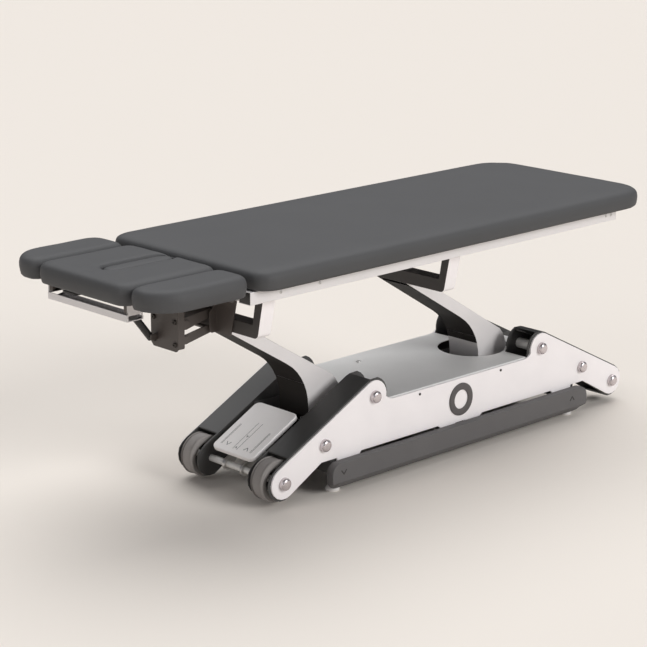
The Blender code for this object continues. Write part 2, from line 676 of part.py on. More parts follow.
def wheel(name, side):
    """Solid grey tyre on a narrower hub, running on the cross axle."""
    half, hub = WHEEL_WIDTH / 2, 0.030
    middle = side * WHEEL_Y
    outer = [(WHEEL_RADIUS - 0.006, half), (WHEEL_RADIUS, half - 0.006),
             (WHEEL_RADIUS, 0.006 - half), (WHEEL_RADIUS - 0.006, -half)]
    profile = ([(hub, half - 0.006), (hub + 0.016, half - 0.003)] + outer
               + [(hub + 0.016, 0.003 - half), (hub, 0.006 - half), (0.016, -half),
                  (AXLE_RADIUS + FIT, -half), (AXLE_RADIUS + FIT, half), (0.016, half)])
    profile = [(radius, along + middle) for radius, along in profile]
    return place(turned(name, profile, -END_X, END_Z, 36), wheel_axis, TYRE_GREY)


# Foot controls

def foot_bar(name, side):
    """Long rocking bar with rounded ends and a chamfer along its lower front edge."""
    outline = rounded(-BAR_HALF, BAR_HALF, BAR_LOW_Z, BAR_TOP_Z, [BAR_CORNER] * 4, 5)
    low, high = band(side, BAR_INNER_Y, BAR_INNER_Y + BAR_THICKNESS)
    bar = prism(name, outline, low, high)
    front = side * (BAR_INNER_Y + BAR_THICKNESS)
    shape = bmesh.new()
    shape.from_mesh(bar.data)
    lower = [e for e in shape.edges
             if all(abs(v.co.y - front) < 1e-5 and v.co.z < BAR_LOW_Z + 0.6 * BAR_CORNER
                    for v in e.verts)]
    bmesh.ops.bevel(shape, geom=lower, offset=BAR_CHAMFER, segments=1, affect="EDGES")
    shape.to_mesh(bar.data)
    shape.free()
    inner = side * (BAR_INNER_Y - 0.001)
    cut(bar, bore(name + "_bore", 0, BAR_PIVOT_Z, BAR_PIN_RADIUS + FIT,
                  *sorted((inner, inner + side * 0.021)), 16))
    return place(bar, bar_axis, BAR_GREY)


def pedal():
    """Rocking plate between the head-end legs, lying along their slope."""
    outline = rounded(0, PEDAL_LENGTH, -PEDAL_HALF, PEDAL_HALF, [PEDAL_CORNER] * 4)
    plate = prism("head_pedal", outline, -PEDAL_THICKNESS, 0, "Z")
    plate.data.transform(PEDAL_FRAME)
    bevel(plate, 0.003, 2)
    return place(plate, pedal_axis, PEDAL_GREY)


def pedal_bracket():
    """Two lugs clamped on the cross axle carry a ridge on which the pedal rocks."""
    ridge_low = -PEDAL_THICKNESS - 0.016
    seat = -PEDAL_THICKNESS - FIT
    ridge = prism("pedal_bracket", [(-0.020, ridge_low), (0.020, ridge_low), (0.0015, seat),
                                    (-0.0015, seat)], 0.030, PEDAL_LENGTH - 0.010, "X")
    ridge.data.transform(PEDAL_FRAME)
    plate = box("pedal_bracket_plate", 0.028, 0.085, -LUG_Y - LUG_WIDTH / 2, LUG_Y + LUG_WIDTH / 2,
                ridge_low - SHEET, ridge_low + 0.001)
    plate.data.transform(PEDAL_FRAME)
    fuse(ridge, plate)
    axle = (-END_X, END_Z)
    reach = PEDAL_FRAME @ Vector((0.085, 0, ridge_low - 0.001))
    foot = PEDAL_FRAME @ Vector((0.028, 0, ridge_low - 0.001))
    low_side = touch((reach.x, reach.z), 0, axle, LUG_RADIUS)
    high_side = touch((foot.x, foot.z), 0, axle, LUG_RADIUS, -1)
    lug = ([(foot.x, foot.z)] + arc(axle, LUG_RADIUS, high_side, low_side, 8)
           + [(reach.x, reach.z)])
    for number, y in enumerate((-LUG_Y, LUG_Y)):
        fuse(ridge, prism("lug_%d" % number, lug, y - LUG_WIDTH / 2, y + LUG_WIDTH / 2))
    cut(ridge, bore("lug_bore", *axle, AXLE_RADIUS + FIT, -0.06, 0.06))
    return place(ridge, base, STEEL)


for near_far, side_of in SIDES:
    wheel("wheel_" + near_far, side_of)
    foot_bar("foot_bar_" + near_far, side_of)
pedal()
pedal_bracket()


# Lift arms

def arm_outline():
    """Swan neck seen from the near side: lever, neck, turn, straight reach and round tip."""
    slope = radians(ARM_SLOPE)
    tip = (TOP_PIVOT_X, TOP_PIVOT_Z)
    lever = (PIVOT_X, LEVER_Z)
    along = (cos(slope), -sin(slope))
    up = (sin(slope), cos(slope))
    front_x, back_x = PIVOT_X - NECK_WIDTH / 2, PIVOT_X + NECK_WIDTH / 2
    under = (tip[0] - up[0] * ARM_TIP_RADIUS, tip[1] - up[1] * ARM_TIP_RADIUS)
    over = (tip[0] + up[0] * ARM_TIP_RADIUS, tip[1] + up[1] * ARM_TIP_RADIUS)
    turn = NECK_TURN_RADIUS
    run = (front_x - turn * (1 - up[0]) - under[0]) / along[0]
    turn_centre = (front_x - turn, under[1] + along[1] * run - turn * up[1])
    back = NECK_BACK_RADIUS
    run = (back_x - back * (1 - up[0]) - over[0]) / along[0]
    back_centre = (back_x - back, over[1] + along[1] * run - back * up[1])
    return (arc(tip, ARM_TIP_RADIUS, 90 - ARM_SLOPE, 270 - ARM_SLOPE, 6)
            + arc(turn_centre, turn, 90 - ARM_SLOPE, 0, 7)
            + [(front_x, PIVOT_Z - 0.010)]
            + arc(lever, LEVER_RADIUS, 205, 335, 6)
            + [(back_x, PIVOT_Z - 0.010)]
            + arc(back_centre, back, 0, 90 - ARM_SLOPE, 5))


def lift_arm(name, axis, shift):
    """Sheet-steel channel, open below along its reach and closed by a boot at its neck."""
    half = ARM_WIDTH / 2
    arm = prism(name, arm_outline(), -half, half)
    shape = bmesh.new()
    shape.from_mesh(arm.data)
    front_x = PIVOT_X - NECK_WIDTH / 2

    def on_back(vert):
        reach = (vert.co.x - TOP_PIVOT_X) * sin(radians(ARM_SLOPE))
        height = (vert.co.z - TOP_PIVOT_Z) * cos(radians(ARM_SLOPE))
        return reach + height > ARM_TIP_RADIUS - 1e-4 and vert.co.z > PIVOT_Z - 0.011
    back_edges = [e for e in shape.edges
                  if all(on_back(v) for v in e.verts)
                  and abs(e.verts[0].co.y - e.verts[1].co.y) < 1e-6]
    bmesh.ops.bevel(shape, geom=back_edges, offset=ARM_EDGE_RADIUS, segments=3, profile=0.5,
                    affect="EDGES")
    open_below = []
    for face in shape.faces:
        middle = face.calc_center_median()
        across = abs(face.normal.y) < 0.1
        facing_down = face.normal.z < -0.3 or face.normal.x < -0.7
        reach = TOP_PIVOT_X + ARM_TIP_RADIUS < middle.x < PIVOT_X and middle.z > BOOT_TOP_Z
        lever = middle.z < PIVOT_Z - 0.010
        if across and (lever or (reach and facing_down)):
            open_below.append(face)
    bmesh.ops.delete(shape, geom=open_below, context="FACES")
    shape.to_mesh(arm.data)
    shape.free()
    arm.data.transform(Matrix.Translation((shift, 0, 0)))
    wall = arm.modifiers.new("wall", "SOLIDIFY")
    wall.thickness = SHEET
    wall.offset = -1
    wall.use_even_offset = True
    inside = half - SHEET / 2
    fuse(arm, bore(name + "_drive_pin", PIVOT_X + shift, LEVER_Z, DRIVE_PIN_RADIUS,
                   -inside, inside, 12))
    cut(arm, bore(name + "_shaft_hole", PIVOT_X + shift, PIVOT_Z, SHAFT_RADIUS + FIT, -0.1, 0.1))
    cut(arm, bore(name + "_pin_hole", TOP_PIVOT_X + shift, TOP_PIVOT_Z, PIN_RADIUS + FIT,
                  -0.1, 0.1))
    return place(arm, axis, SILVER_PAINT)


def shaft(name, x):
    """Fixed shaft across the spine, with collars that centre the arm."""
    outer, inner = SPINE_HALF + 0.004, ARM_WIDTH / 2 + 0.0006
    collar_end, collar = SPINE_HALF - SHEET - FIT, SHAFT_RADIUS + 0.006
    half = [(0, outer), (SHAFT_RADIUS, outer), (SHAFT_RADIUS, collar_end), (collar, collar_end),
            (collar, inner), (SHAFT_RADIUS, inner)]
    profile = half + [(radius, -along) for radius, along in reversed(half)]
    return place(turned(name, profile, x, PIVOT_Z, 20), base, STEEL)


def top_pin(name, x):
    """Pivot pin in the yoke's ears."""
    outer = ARM_WIDTH / 2 + EAR_GAP + EAR_THICKNESS + 0.003
    profile = [(0, outer), (PIN_RADIUS, outer), (PIN_RADIUS, -outer), (0, -outer)]
    return place(turned(name, profile, x, TOP_PIVOT_Z, 20), frame_axis, STEEL)


lift_arm("lift_arm_foot", lift_axis, 0)
lift_arm("lift_arm_head", head_lift_axis, -ARM_SPACING)
shaft("arm_shaft_foot", PIVOT_X)
shaft("arm_shaft_head", HEAD_PIVOT_X)
top_pin("top_pin_foot", TOP_PIVOT_X)
top_pin("top_pin_head", TOP_PIVOT_X - ARM_SPACING)


# Drive: motor, tube and push rod lying in the spine

def drive():
    """Linear drive: its tube is held by the spine, its rod pushes the head arm's lever."""
    mouth = HEAD_PIVOT_X + DRIVE_GAP
    tail = mouth + DRIVE_LENGTH
    tube = rod_between("drive_tube", (mouth, 0, LEVER_Z), (tail, 0, LEVER_Z), DRIVE_RADIUS, 20)
    motor = rod_between("drive_motor", (tail - 0.02, 0, LEVER_Z + 0.006),
                        (tail + MOTOR_LENGTH, 0, LEVER_Z + 0.006), MOTOR_RADIUS, 20)
    fuse(tube, motor)
    saddle_floor = SPINE_FLOOR_Z + SHEET + FIT
    fuse(tube, box("drive_saddle", tail - 0.03, tail + 0.03, -0.022, 0.022,
                   saddle_floor, LEVER_Z - 0.005))
    cut(tube, rod_between("drive_bore", (mouth - 0.01, 0, LEVER_Z), (tail - 0.08, 0, LEVER_Z),
                          ROD_RADIUS + FIT, 16))
    place(tube, base, BLACK)
    eye_half = DRIVE_PIN_RADIUS + 0.010
    rod = rod_between("drive_rod", (HEAD_PIVOT_X + eye_half - 0.002, 0, LEVER_Z),
                      (mouth + 0.110, 0, LEVER_Z), ROD_RADIUS, 16)
    slot_rise = LEVER_LENGTH * 0.18 + DRIVE_PIN_RADIUS + 0.001
    low_z = LEVER_Z - DRIVE_PIN_RADIUS - 0.007
    fuse(rod, box("rod_eye", HEAD_PIVOT_X - eye_half, HEAD_PIVOT_X + eye_half, -0.010, 0.010,
                  low_z, LEVER_Z + slot_rise + 0.006))
    cut(rod, box("rod_slot", HEAD_PIVOT_X - DRIVE_PIN_RADIUS - 0.001,
                 HEAD_PIVOT_X + DRIVE_PIN_RADIUS + 0.001, -0.02, 0.02,
                 LEVER_Z - DRIVE_PIN_RADIUS - 0.001, LEVER_Z + slot_rise))
    place(rod, drive_axis, STEEL)


drive()


# Top frame: rails, cross tubes, yokes

def hollow_bar(name, low_x, high_x, low_y, high_y, low_z, high_z, along):
    """Rectangular tube, open at both ends along X or Y."""
    bar = box(name, low_x, high_x, low_y, high_y, low_z, high_z)
    wall, past = TUBE_WALL, 0.01
    if along == "X":
        room = box(name + "_room", low_x - past, high_x + past, low_y + wall, high_y - wall,
                   low_z + wall, high_z - wall)
    else:
        room = box(name + "_room", low_x + wall, high_x - wall, low_y - past, high_y + past,
                   low_z + wall, high_z - wall)
    cut(bar, room)
    return bar


def yoke(name, shift):
    """U-shaped hanger bent from sheet: a web towards the head end and flanges behind it."""
    def hanger(inset):
        low, top = YOKE_LOW_Z + inset, YOKE_TOP_Z + (0.02 if inset else 0)
        bar_top = YOKE_LOW_Z + YOKE_BAR_HEIGHT - inset
        lean = (YOKE_TOP_HALF - YOKE_LOW_HALF) / (YOKE_TOP_Z - YOKE_LOW_Z)
        outer_low = YOKE_LOW_HALF - inset
        outer_top = YOKE_TOP_HALF - inset + lean * (top - YOKE_TOP_Z)
        inner_low = outer_low - YOKE_LEG_WIDTH + 2 * inset + lean * (bar_top - low)
        inner_top = outer_top - YOKE_LEG_WIDTH + 2 * inset
        corner = YOKE_CORNER - inset
        turn = degrees(atan2(lean, 1))
        right = (arc((outer_low - corner, low + corner), corner, -90, -turn, 4)
                 + [(outer_top, top), (inner_top, top), (inner_low, bar_top)])
        return right + mirrored(right)
    web = YOKE_WEB_X + shift
    hanger_bar = prism(name, hanger(0), web, web + YOKE_DEPTH, "X")
    cut(hanger_bar, prism(name + "_room", hanger(SHEET), web + SHEET, web + YOKE_DEPTH + 0.01, "X"))
    ear_low = ARM_WIDTH / 2 + EAR_GAP
    for near_far, side in SIDES:
        low, high = band(side, ear_low, ear_low + EAR_THICKNESS)
        fuse(hanger_bar, box("%s_ear_%s" % (name, near_far), web + SHEET - 0.001,
                             web + YOKE_DEPTH - 0.002, low, high, YOKE_LOW_Z + 0.002,
                             YOKE_LOW_Z + YOKE_BAR_HEIGHT - 0.002))
    cut(hanger_bar, box(name + "_arm_slot", web + SHEET, web + YOKE_DEPTH + 0.01,
                        -ear_low, ear_low, YOKE_LOW_Z - 0.01, YOKE_LOW_Z + SHEET + 0.001))
    cut(hanger_bar, bore(name + "_pin_hole", TOP_PIVOT_X + shift, TOP_PIVOT_Z, PIN_RADIUS + FIT,
                         -0.09, 0.09))
    return place(hanger_bar, frame_axis, TAUPE)


def top_frame():
    top = RAIL_LOW_Z + RAIL_HEIGHT
    inner = RAIL_OUTER_Y - RAIL_WIDTH
    for near_far, side in SIDES:
        low, high = band(side, inner, RAIL_OUTER_Y)
        place(hollow_bar("side_rail_" + near_far, RAIL_HEAD_X, RAIL_FOOT_X, low, high,
                         RAIL_LOW_Z, top, "X"), frame_axis, SILVER_PAINT)
    half = inner - FIT
    for name, low_x in (("head", RAIL_HEAD_X + 0.004), ("foot", RAIL_FOOT_X - TUBE_WIDTH - 0.004)):
        place(hollow_bar("cross_tube_" + name, low_x, low_x + TUBE_WIDTH, -half, half,
                         RAIL_LOW_Z + 0.002, top, "Y"), frame_axis, SILVER_PAINT)


top_frame()
yoke("yoke_foot", 0)
yoke("yoke_head", -ARM_SPACING)


# Boards and upholstery

def main_outline(inset):
    return rounded(MAIN_HEAD_X + inset, FOOT_REACH - inset, inset - TABLE_WIDTH / 2,
                   TABLE_WIDTH / 2 - inset,
                   [HEAD_CORNER, FOOT_CORNER - inset, FOOT_CORNER - inset, HEAD_CORNER], 8)


def centre_outline(inset):
    return rounded(-HEAD_REACH + inset, HEAD_REAR_X - inset, inset - CENTRE_HALF,
                   CENTRE_HALF - inset, [PAD_CORNER] * 4)


def slot_outline(margin, rear_rim=0):
    radius = SLOT_WIDTH / 2 + margin
    half = SLOT_LENGTH / 2 - SLOT_WIDTH / 2
    return (arc((SLOT_X + half - rear_rim, 0), radius, -90, 90, 8)
            + arc((SLOT_X - half, 0), radius, 90, 270, 8))


def pad(name, outline, carrier, cutter=None):
    cushion = prism(name, outline, PAD_LOW_Z, PAD_TOP_Z, "Z")
    bevel(cushion, PAD_EDGE, 3)
    if cutter:
        cut(cushion, cutter)
    return place(cushion, carrier, UPHOLSTERY)


def boards_and_pads():
    board_top = BOARD_LOW_Z + BOARD_THICKNESS
    place(prism("main_board", main_outline(BOARD_INSET), BOARD_LOW_Z, board_top, "Z"),
          frame_axis, PLYWOOD)
    pad("main_pad", main_outline(0), frame_axis)
    head_board = prism("head_board", centre_outline(BOARD_INSET), BOARD_LOW_Z, board_top, "Z")
    cut(head_board, prism("board_slot", slot_outline(-SLOT_RIM, SLOT_REAR_RIM - SLOT_RIM),
                          BOARD_LOW_Z - 0.01, board_top + 0.01, "Z"))
    place(head_board, tilt_axis, PLYWOOD)
    pad("centre_pad", centre_outline(0), tilt_axis,
        prism("pad_slot", slot_outline(0), PAD_LOW_Z - 0.01, PAD_TOP_Z + 0.01, "Z"))
    plug = prism("face_plug", slot_outline(-PLUG_GAP), PAD_LOW_Z, PAD_TOP_Z - 0.001, "Z")
    bevel(plug, 0.010, 2)
    place(plug, tilt_axis, UPHOLSTERY)


def arm_rest(near_far, side):
    """Side pad on its bracket; both drop about a hinge at the rear of the head section."""
    inner, outer = CENTRE_HALF + SEAM, TABLE_WIDTH / 2
    outline = rounded(-HEAD_REACH + 0.004, HEAD_REAR_X - 0.004, inner, outer,
                      [PAD_CORNER, PAD_CORNER, 0.050, ARM_PAD_CORNER], 6)
    if side < 0:
        outline = [(u, -v) for u, v in reversed(outline)]
    pad("arm_pad_" + near_far, outline, arm_rest_axis)
    low, high = band(side, ARM_BRACKET_Y, ARM_BRACKET_Y + ARM_BRACKET_WIDTH)
    plate_low = PAD_LOW_Z - FIT - 0.006
    bracket = box("arm_bracket_" + near_far, -HEAD_REACH + 0.120, HEAD_REAR_X - 0.010, low, high,
                  plate_low, PAD_LOW_Z - FIT)
    fuse(bracket, box("bracket_web_" + near_far, ARM_HINGE_X - BARREL_RADIUS + 0.0005,
                      ARM_HINGE_X + BARREL_RADIUS - 0.0005, low, high, ARM_HINGE_Z,
                      plate_low + 0.001))
    barrel = band(side, HEAD_RAIL_Y + HEAD_RAIL_WIDTH + 0.001,
                  ARM_BRACKET_Y + ARM_BRACKET_WIDTH - 0.001)
    fuse(bracket, bore("barrel_" + near_far, ARM_HINGE_X, ARM_HINGE_Z, BARREL_RADIUS, *barrel))
    cut(bracket, bore("barrel_bore_" + near_far, ARM_HINGE_X, ARM_HINGE_Z,
                      HINGE_PIN_RADIUS + FIT, *band(side, HEAD_RAIL_Y, TABLE_WIDTH / 2), 16))
    return place(bracket, arm_rest_axis, TAUPE)


boards_and_pads()
for near_far, side_of in SIDES:
    arm_rest(near_far, side_of)


# Head mechanism: mount, links, carrier, frame, gas strut, front bar

def head_mount():
    """Plate on the head yoke's web with two cheeks that hold the links' rear pins."""
    back_x = HEAD_YOKE_X - FIT
    outline = [(-MOUNT_LOW_HALF, MOUNT_LOW_Z), (MOUNT_LOW_HALF, MOUNT_LOW_Z),
               (MOUNT_TOP_HALF, MOUNT_TOP_Z), (-MOUNT_TOP_HALF, MOUNT_TOP_Z)]
    mount = prism("head_mount", outline, back_x - SHEET, back_x, "X")
    reach = 0.012
    for near_far, side in SIDES:
        low, high = band(side, CARRIER_HALF + 0.001, CARRIER_HALF + 0.001 + SHEET)
        cheek = [(back_x - 0.001, MOUNT_LOW_Z + 0.002), (back_x - 0.001, MOUNT_TOP_Z - 0.015)]
        cheek += arc((LINK_MOUNT_X, LINK_UPPER_Z), reach, 90, 180, 3)
        cheek += arc((LINK_MOUNT_X, LINK_LOWER_Z), reach, 180, 250, 3)
        fuse(mount, prism("mount_cheek_" + near_far, cheek, low, high))
    pin = CARRIER_HALF + SHEET
    for name, z in (("upper", LINK_UPPER_Z), ("lower", LINK_LOWER_Z)):
        fuse(mount, bore("mount_pin_" + name, LINK_MOUNT_X, z, LINK_PIN_RADIUS, -pin, pin, 12))
    return place(mount, frame_axis, TAUPE)


def link(name, axis, mount_z, height, web_high):
    """Channel link: two side bars with round ends and a web between them."""
    rear, front = (LINK_MOUNT_X, mount_z), (CARRIER_PIN_X, mount_z - LINK_DROP)
    rear_radius, front_radius = 0.0115, height / 2
    rear_up = touch(front, front_radius, rear, rear_radius)
    rear_down = touch(front, front_radius, rear, rear_radius, -1)
    outline = (arc(rear, rear_radius, rear_down, rear_up, 5)
               + arc(front, front_radius, rear_up, rear_down + 360, 6))
    half = CARRIER_HALF - SHEET - 0.001
    body = prism(name, outline, -half, half)
    middle_x = (rear[0] + front[0]) / 2
    if web_high:
        room = box(name + "_room", CARRIER_PIN_X - 0.05, LINK_MOUNT_X + 0.05,
                   SHEET - half, half - SHEET, mount_z - 0.08, mount_z - LINK_DROP + 0.006)
    else:
        room = box(name + "_room", CARRIER_PIN_X - 0.05, LINK_MOUNT_X + 0.05,
                   SHEET - half, half - SHEET, mount_z - LINK_DROP - 0.006, mount_z + 0.08)
    cut(body, room)
    for number, (x, z) in enumerate((rear, front)):
        cut(body, bore("%s_pin_hole_%d" % (name, number), x, z, LINK_PIN_RADIUS + FIT,
                       -0.07, 0.07, 14))
        room_radius = 0.009
        cut(body, bore("%s_clearance_%d" % (name, number), x, z, room_radius,
                       SHEET - half, half - SHEET, 14))
    return place(body, axis, TAUPE)


def carrier():
    """Upright channel that the links carry: front plate, side flanges, link and strut pins."""
    top = TILT_Z + 0.010
    back = CARRIER_X + CARRIER_DEPTH
    outline = [(CARRIER_CORNER - CARRIER_HALF, CARRIER_LOW_Z),
               (CARRIER_HALF - CARRIER_CORNER, CARRIER_LOW_Z),
               (CARRIER_HALF, CARRIER_LOW_Z + CARRIER_CORNER), (CARRIER_HALF, top),
               (-CARRIER_HALF, top), (-CARRIER_HALF, CARRIER_LOW_Z + CARRIER_CORNER)]
    body = prism("head_carrier", outline, CARRIER_X, back, "X")
    cut(body, box("carrier_room", CARRIER_X + SHEET, back + 0.05, SHEET - CARRIER_HALF,
                  CARRIER_HALF - SHEET, CARRIER_LOW_Z - 0.01, top + 0.01))
    for name, z in (("upper", CARRIER_UPPER_Z), ("lower", CARRIER_LOWER_Z)):
        for near_far, side in SIDES:
            low, high = band(side, CARRIER_HALF - SHEET, CARRIER_HALF)
            ear = arc((CARRIER_PIN_X, z), 0.011, -90, 90, 5) + [(CARRIER_X + 0.010, z + 0.011),
                                                               (CARRIER_X + 0.010, z - 0.011)]
            fuse(body, prism("carrier_ear_%s_%s" % (name, near_far), ear, low, high))
        fuse(body, bore("carrier_pin_" + name, CARRIER_PIN_X, z, LINK_PIN_RADIUS,
                        0.001 - CARRIER_HALF, CARRIER_HALF - 0.001, 12))
    strut_pin = 0.004
    fuse(body, box("strut_lug", STRUT_LOW[0] - 0.007, CARRIER_X + 0.002,
                   STRUT_Y - STRUT_RADIUS - 0.006, STRUT_Y - STRUT_RADIUS - 0.001,
                   STRUT_LOW[1] - 0.008, STRUT_LOW[1] + 0.008))
    fuse(body, bore("strut_pin", *STRUT_LOW, strut_pin, STRUT_Y - STRUT_RADIUS - 0.003,
                    STRUT_Y + STRUT_RADIUS, 12))
    cut(body, bore("tilt_hole", TILT_X, TILT_Z, LINK_PIN_RADIUS + FIT, -0.07, 0.07, 14))
    return place(body, carrier_axis, TAUPE)


def head_frame():
    """Two flat rails under the head board, tied at the rear by the tilt pin's bracket."""
    top = BOARD_LOW_Z - FIT
    low = top - HEAD_RAIL_HEIGHT
    rear = HEAD_REAR_X - 0.020
    front = BAR_FRONT_X + BAR_SHEET + FIT
    strip = (-HEAD_RAIL_Y - 0.003, HEAD_RAIL_Y + 0.003, top - SHEET - FIT, top - FIT)
    body = box("head_frame", rear - 0.040, rear - 0.001, *strip)
    for near_far, side in SIDES:
        edge = band(side, HEAD_RAIL_Y - 0.002, HEAD_RAIL_Y + HEAD_RAIL_WIDTH)
        fuse(body, box("head_rail_" + near_far, front, rear, *edge, low, top))
        ear = band(side, 0.040, 0.046)
        fuse(body, box("tilt_ear_" + near_far, TILT_X - 0.009, TILT_X + 0.009, *ear,
                       TILT_Z - 0.009, top - 0.001))
    fuse(body, bore("tilt_pin", TILT_X, TILT_Z, LINK_PIN_RADIUS, -CARRIER_HALF - 0.001,
                    CARRIER_HALF + 0.001, 12))
    fuse(body, box("strut_cross_strip", STRUT_HIGH[0] - 0.012, STRUT_HIGH[0] + 0.012,
                   STRUT_Y - 0.015, *strip[1:]))
    fuse(body, box("strut_bracket", STRUT_HIGH[0] - 0.008, STRUT_HIGH[0] + 0.008,
                   STRUT_Y - 0.014, STRUT_Y - 0.009, STRUT_HIGH[1] - 0.008, top - 0.001))
    fuse(body, bore("strut_top_pin", *STRUT_HIGH, 0.003, STRUT_Y - 0.0115, STRUT_Y + 0.008, 16))
    for near_far, side in SIDES:
        fuse(body, bore("arm_hinge_pin_" + near_far, ARM_HINGE_X, ARM_HINGE_Z, HINGE_PIN_RADIUS,
                        *band(side, HEAD_RAIL_Y + 0.002, ARM_BRACKET_Y + ARM_BRACKET_WIDTH), 14))
    fuse(body, box("paddle_strip", PADDLE_PIVOT_X - 0.007, PADDLE_PIVOT_X + 0.011, *strip))
    ear_reach = PADDLE_WIDTH / 2 + 0.0005
    pin_z = PADDLE_Z + PADDLE_THICKNESS / 2
    for number, side in enumerate((-1, 1)):
        edge = sorted((PADDLE_Y + side * ear_reach, PADDLE_Y + side * (ear_reach + SHEET)))
        fuse(body, box("paddle_ear_%d" % number, PADDLE_PIVOT_X - 0.006, PADDLE_PIVOT_X + 0.006,
                       *edge, pin_z - 0.006, top - 0.001))
    fuse(body, bore("paddle_pin", PADDLE_PIVOT_X, pin_z, PADDLE_PIN_RADIUS,
                    PADDLE_Y - ear_reach - 0.002, PADDLE_Y + ear_reach + 0.002, 12))
    return place(body, tilt_axis, TAUPE)


def gas_strut():
    """Gas spring between the carrier and the head frame: a blind cylinder and its rod."""
    low = Vector((STRUT_LOW[0], STRUT_Y, STRUT_LOW[1]))
    high = Vector((STRUT_HIGH[0], STRUT_Y, STRUT_HIGH[1]))
    way = (high - low).normalized()
    cylinder = rod_between("gas_cylinder", low - way * 0.008, low + way * STRUT_LENGTH,
                           STRUT_RADIUS, 18)
    cut(cylinder, rod_between("gas_bore", low + way * 0.010, low + way * (STRUT_LENGTH + 0.01),
                              STRUT_ROD_RADIUS + FIT, 12))
    cut(cylinder, bore("gas_low_eye", *STRUT_LOW, 0.004 + FIT, STRUT_Y - 0.02, STRUT_Y + 0.02, 14))
    place(cylinder, strut_axis, BLACK)
    rod = rod_between("gas_rod", low + way * (STRUT_LENGTH - STRUT_OVERLAP), high,
                      STRUT_ROD_RADIUS, 12)
    fuse(rod, bore("gas_eye", *STRUT_HIGH, 0.009, STRUT_Y - 0.006, STRUT_Y + 0.006, 16))
    cut(rod, bore("gas_eye_hole", *STRUT_HIGH, 0.0055, STRUT_Y - 0.02, STRUT_Y + 0.02, 14))
    place(rod, strut_axis, STEEL)


def front_bar():
    """Channel across the front under the head pad, with a finger gap above it."""
    back = BAR_FRONT_X + BAR_DEPTH
    low, high = BAR_LOW, BAR_LOW + BAR_LIP
    outline = [(BAR_FRONT_X, low), (back, low), (back, low + 0.010), (back - BAR_SHEET, low + 0.010),
               (back - BAR_SHEET, low + BAR_SHEET), (BAR_FRONT_X + BAR_SHEET, low + BAR_SHEET),
               (BAR_FRONT_X + BAR_SHEET, high), (BAR_FRONT_X, high)]
    body = prism("front_bar", outline, -BAR_HALF_Y, BAR_HALF_Y)
    rail_front = BAR_FRONT_X + BAR_SHEET
    rail_side = HEAD_RAIL_Y + HEAD_RAIL_WIDTH + FIT
    for near_far, side in SIDES:
        edge = band(side, rail_side, rail_side + BAR_SHEET)
        fuse(body, box("front_tab_" + near_far, rail_front - 0.001, back - 0.002, *edge,
                       low + 0.001, BOARD_LOW_Z - FIT))
    return place(body, tilt_axis, SILVER_PAINT)


def release_paddle():
    """Small black paddle in the finger gap that frees the gas strut."""
    low_y, high_y = PADDLE_Y - PADDLE_WIDTH / 2, PADDLE_Y + PADDLE_WIDTH / 2
    outline = rounded(BAR_FRONT_X + 0.006, PADDLE_PIVOT_X, low_y, high_y,
                      [0.010, 0.001, 0.001, 0.010], 3)
    body = prism("release_paddle", outline, PADDLE_Z, PADDLE_Z + PADDLE_THICKNESS, "Z")
    pin_z = PADDLE_Z + PADDLE_THICKNESS / 2
    fuse(body, bore("paddle_barrel", PADDLE_PIVOT_X, pin_z, 0.0055, low_y, high_y, 16))
    cut(body, bore("paddle_bore", PADDLE_PIVOT_X, pin_z, PADDLE_PIN_RADIUS + FIT,
                   low_y - 0.01, high_y + 0.01, 14))
    return place(body, paddle_axis, BLACK)


head_mount()
link("upper_link", upper_link_axis, LINK_UPPER_Z, LINK_UPPER_HEIGHT, True)
link("lower_link", lower_link_axis, LINK_LOWER_Z, LINK_LOWER_HEIGHT, False)
carrier()
head_frame()
gas_strut()
front_bar()
release_paddle()
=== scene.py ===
import json
from math import radians, cos, sin, pi, atan2
import bmesh
import bpy
import numpy as np
from mathutils import Matrix, Vector

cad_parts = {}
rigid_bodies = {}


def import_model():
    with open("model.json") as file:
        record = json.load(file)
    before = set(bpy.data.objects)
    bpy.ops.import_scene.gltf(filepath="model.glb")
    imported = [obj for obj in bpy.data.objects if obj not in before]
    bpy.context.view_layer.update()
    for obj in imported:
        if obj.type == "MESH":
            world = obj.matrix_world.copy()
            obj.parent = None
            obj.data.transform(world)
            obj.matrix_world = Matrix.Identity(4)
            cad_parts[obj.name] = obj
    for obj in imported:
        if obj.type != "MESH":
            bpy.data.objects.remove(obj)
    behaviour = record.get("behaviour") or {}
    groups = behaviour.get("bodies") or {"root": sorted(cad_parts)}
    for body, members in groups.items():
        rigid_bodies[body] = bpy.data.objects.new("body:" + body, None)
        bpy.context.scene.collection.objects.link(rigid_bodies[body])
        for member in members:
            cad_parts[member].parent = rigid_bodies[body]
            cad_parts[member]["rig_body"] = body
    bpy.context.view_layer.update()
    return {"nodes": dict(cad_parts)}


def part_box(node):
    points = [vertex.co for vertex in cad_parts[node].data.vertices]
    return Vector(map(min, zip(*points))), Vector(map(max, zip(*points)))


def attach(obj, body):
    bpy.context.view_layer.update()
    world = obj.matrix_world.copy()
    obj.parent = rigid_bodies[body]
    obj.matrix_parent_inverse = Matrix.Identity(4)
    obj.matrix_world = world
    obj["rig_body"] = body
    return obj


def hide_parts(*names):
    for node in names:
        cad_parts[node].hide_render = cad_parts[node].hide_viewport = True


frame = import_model()
bpy.ops.object.select_all(action="DESELECT")


# Studio: a pale paper sheet for a floor, a key soft box at the near side, a broad one overhead
# from behind, and a weak fill from the head end. The camera stands at the head end and the near
# side, a little above the lying surface.

def colour(hex_code):
    """An sRGB hex colour as the linear values a shader takes."""
    steps = [int(hex_code[i:i + 2], 16) / 255 for i in (0, 2, 4)]
    return [s / 12.92 if s <= 0.04045 else ((s + 0.055) / 1.055) ** 2.4 for s in steps] + [1]


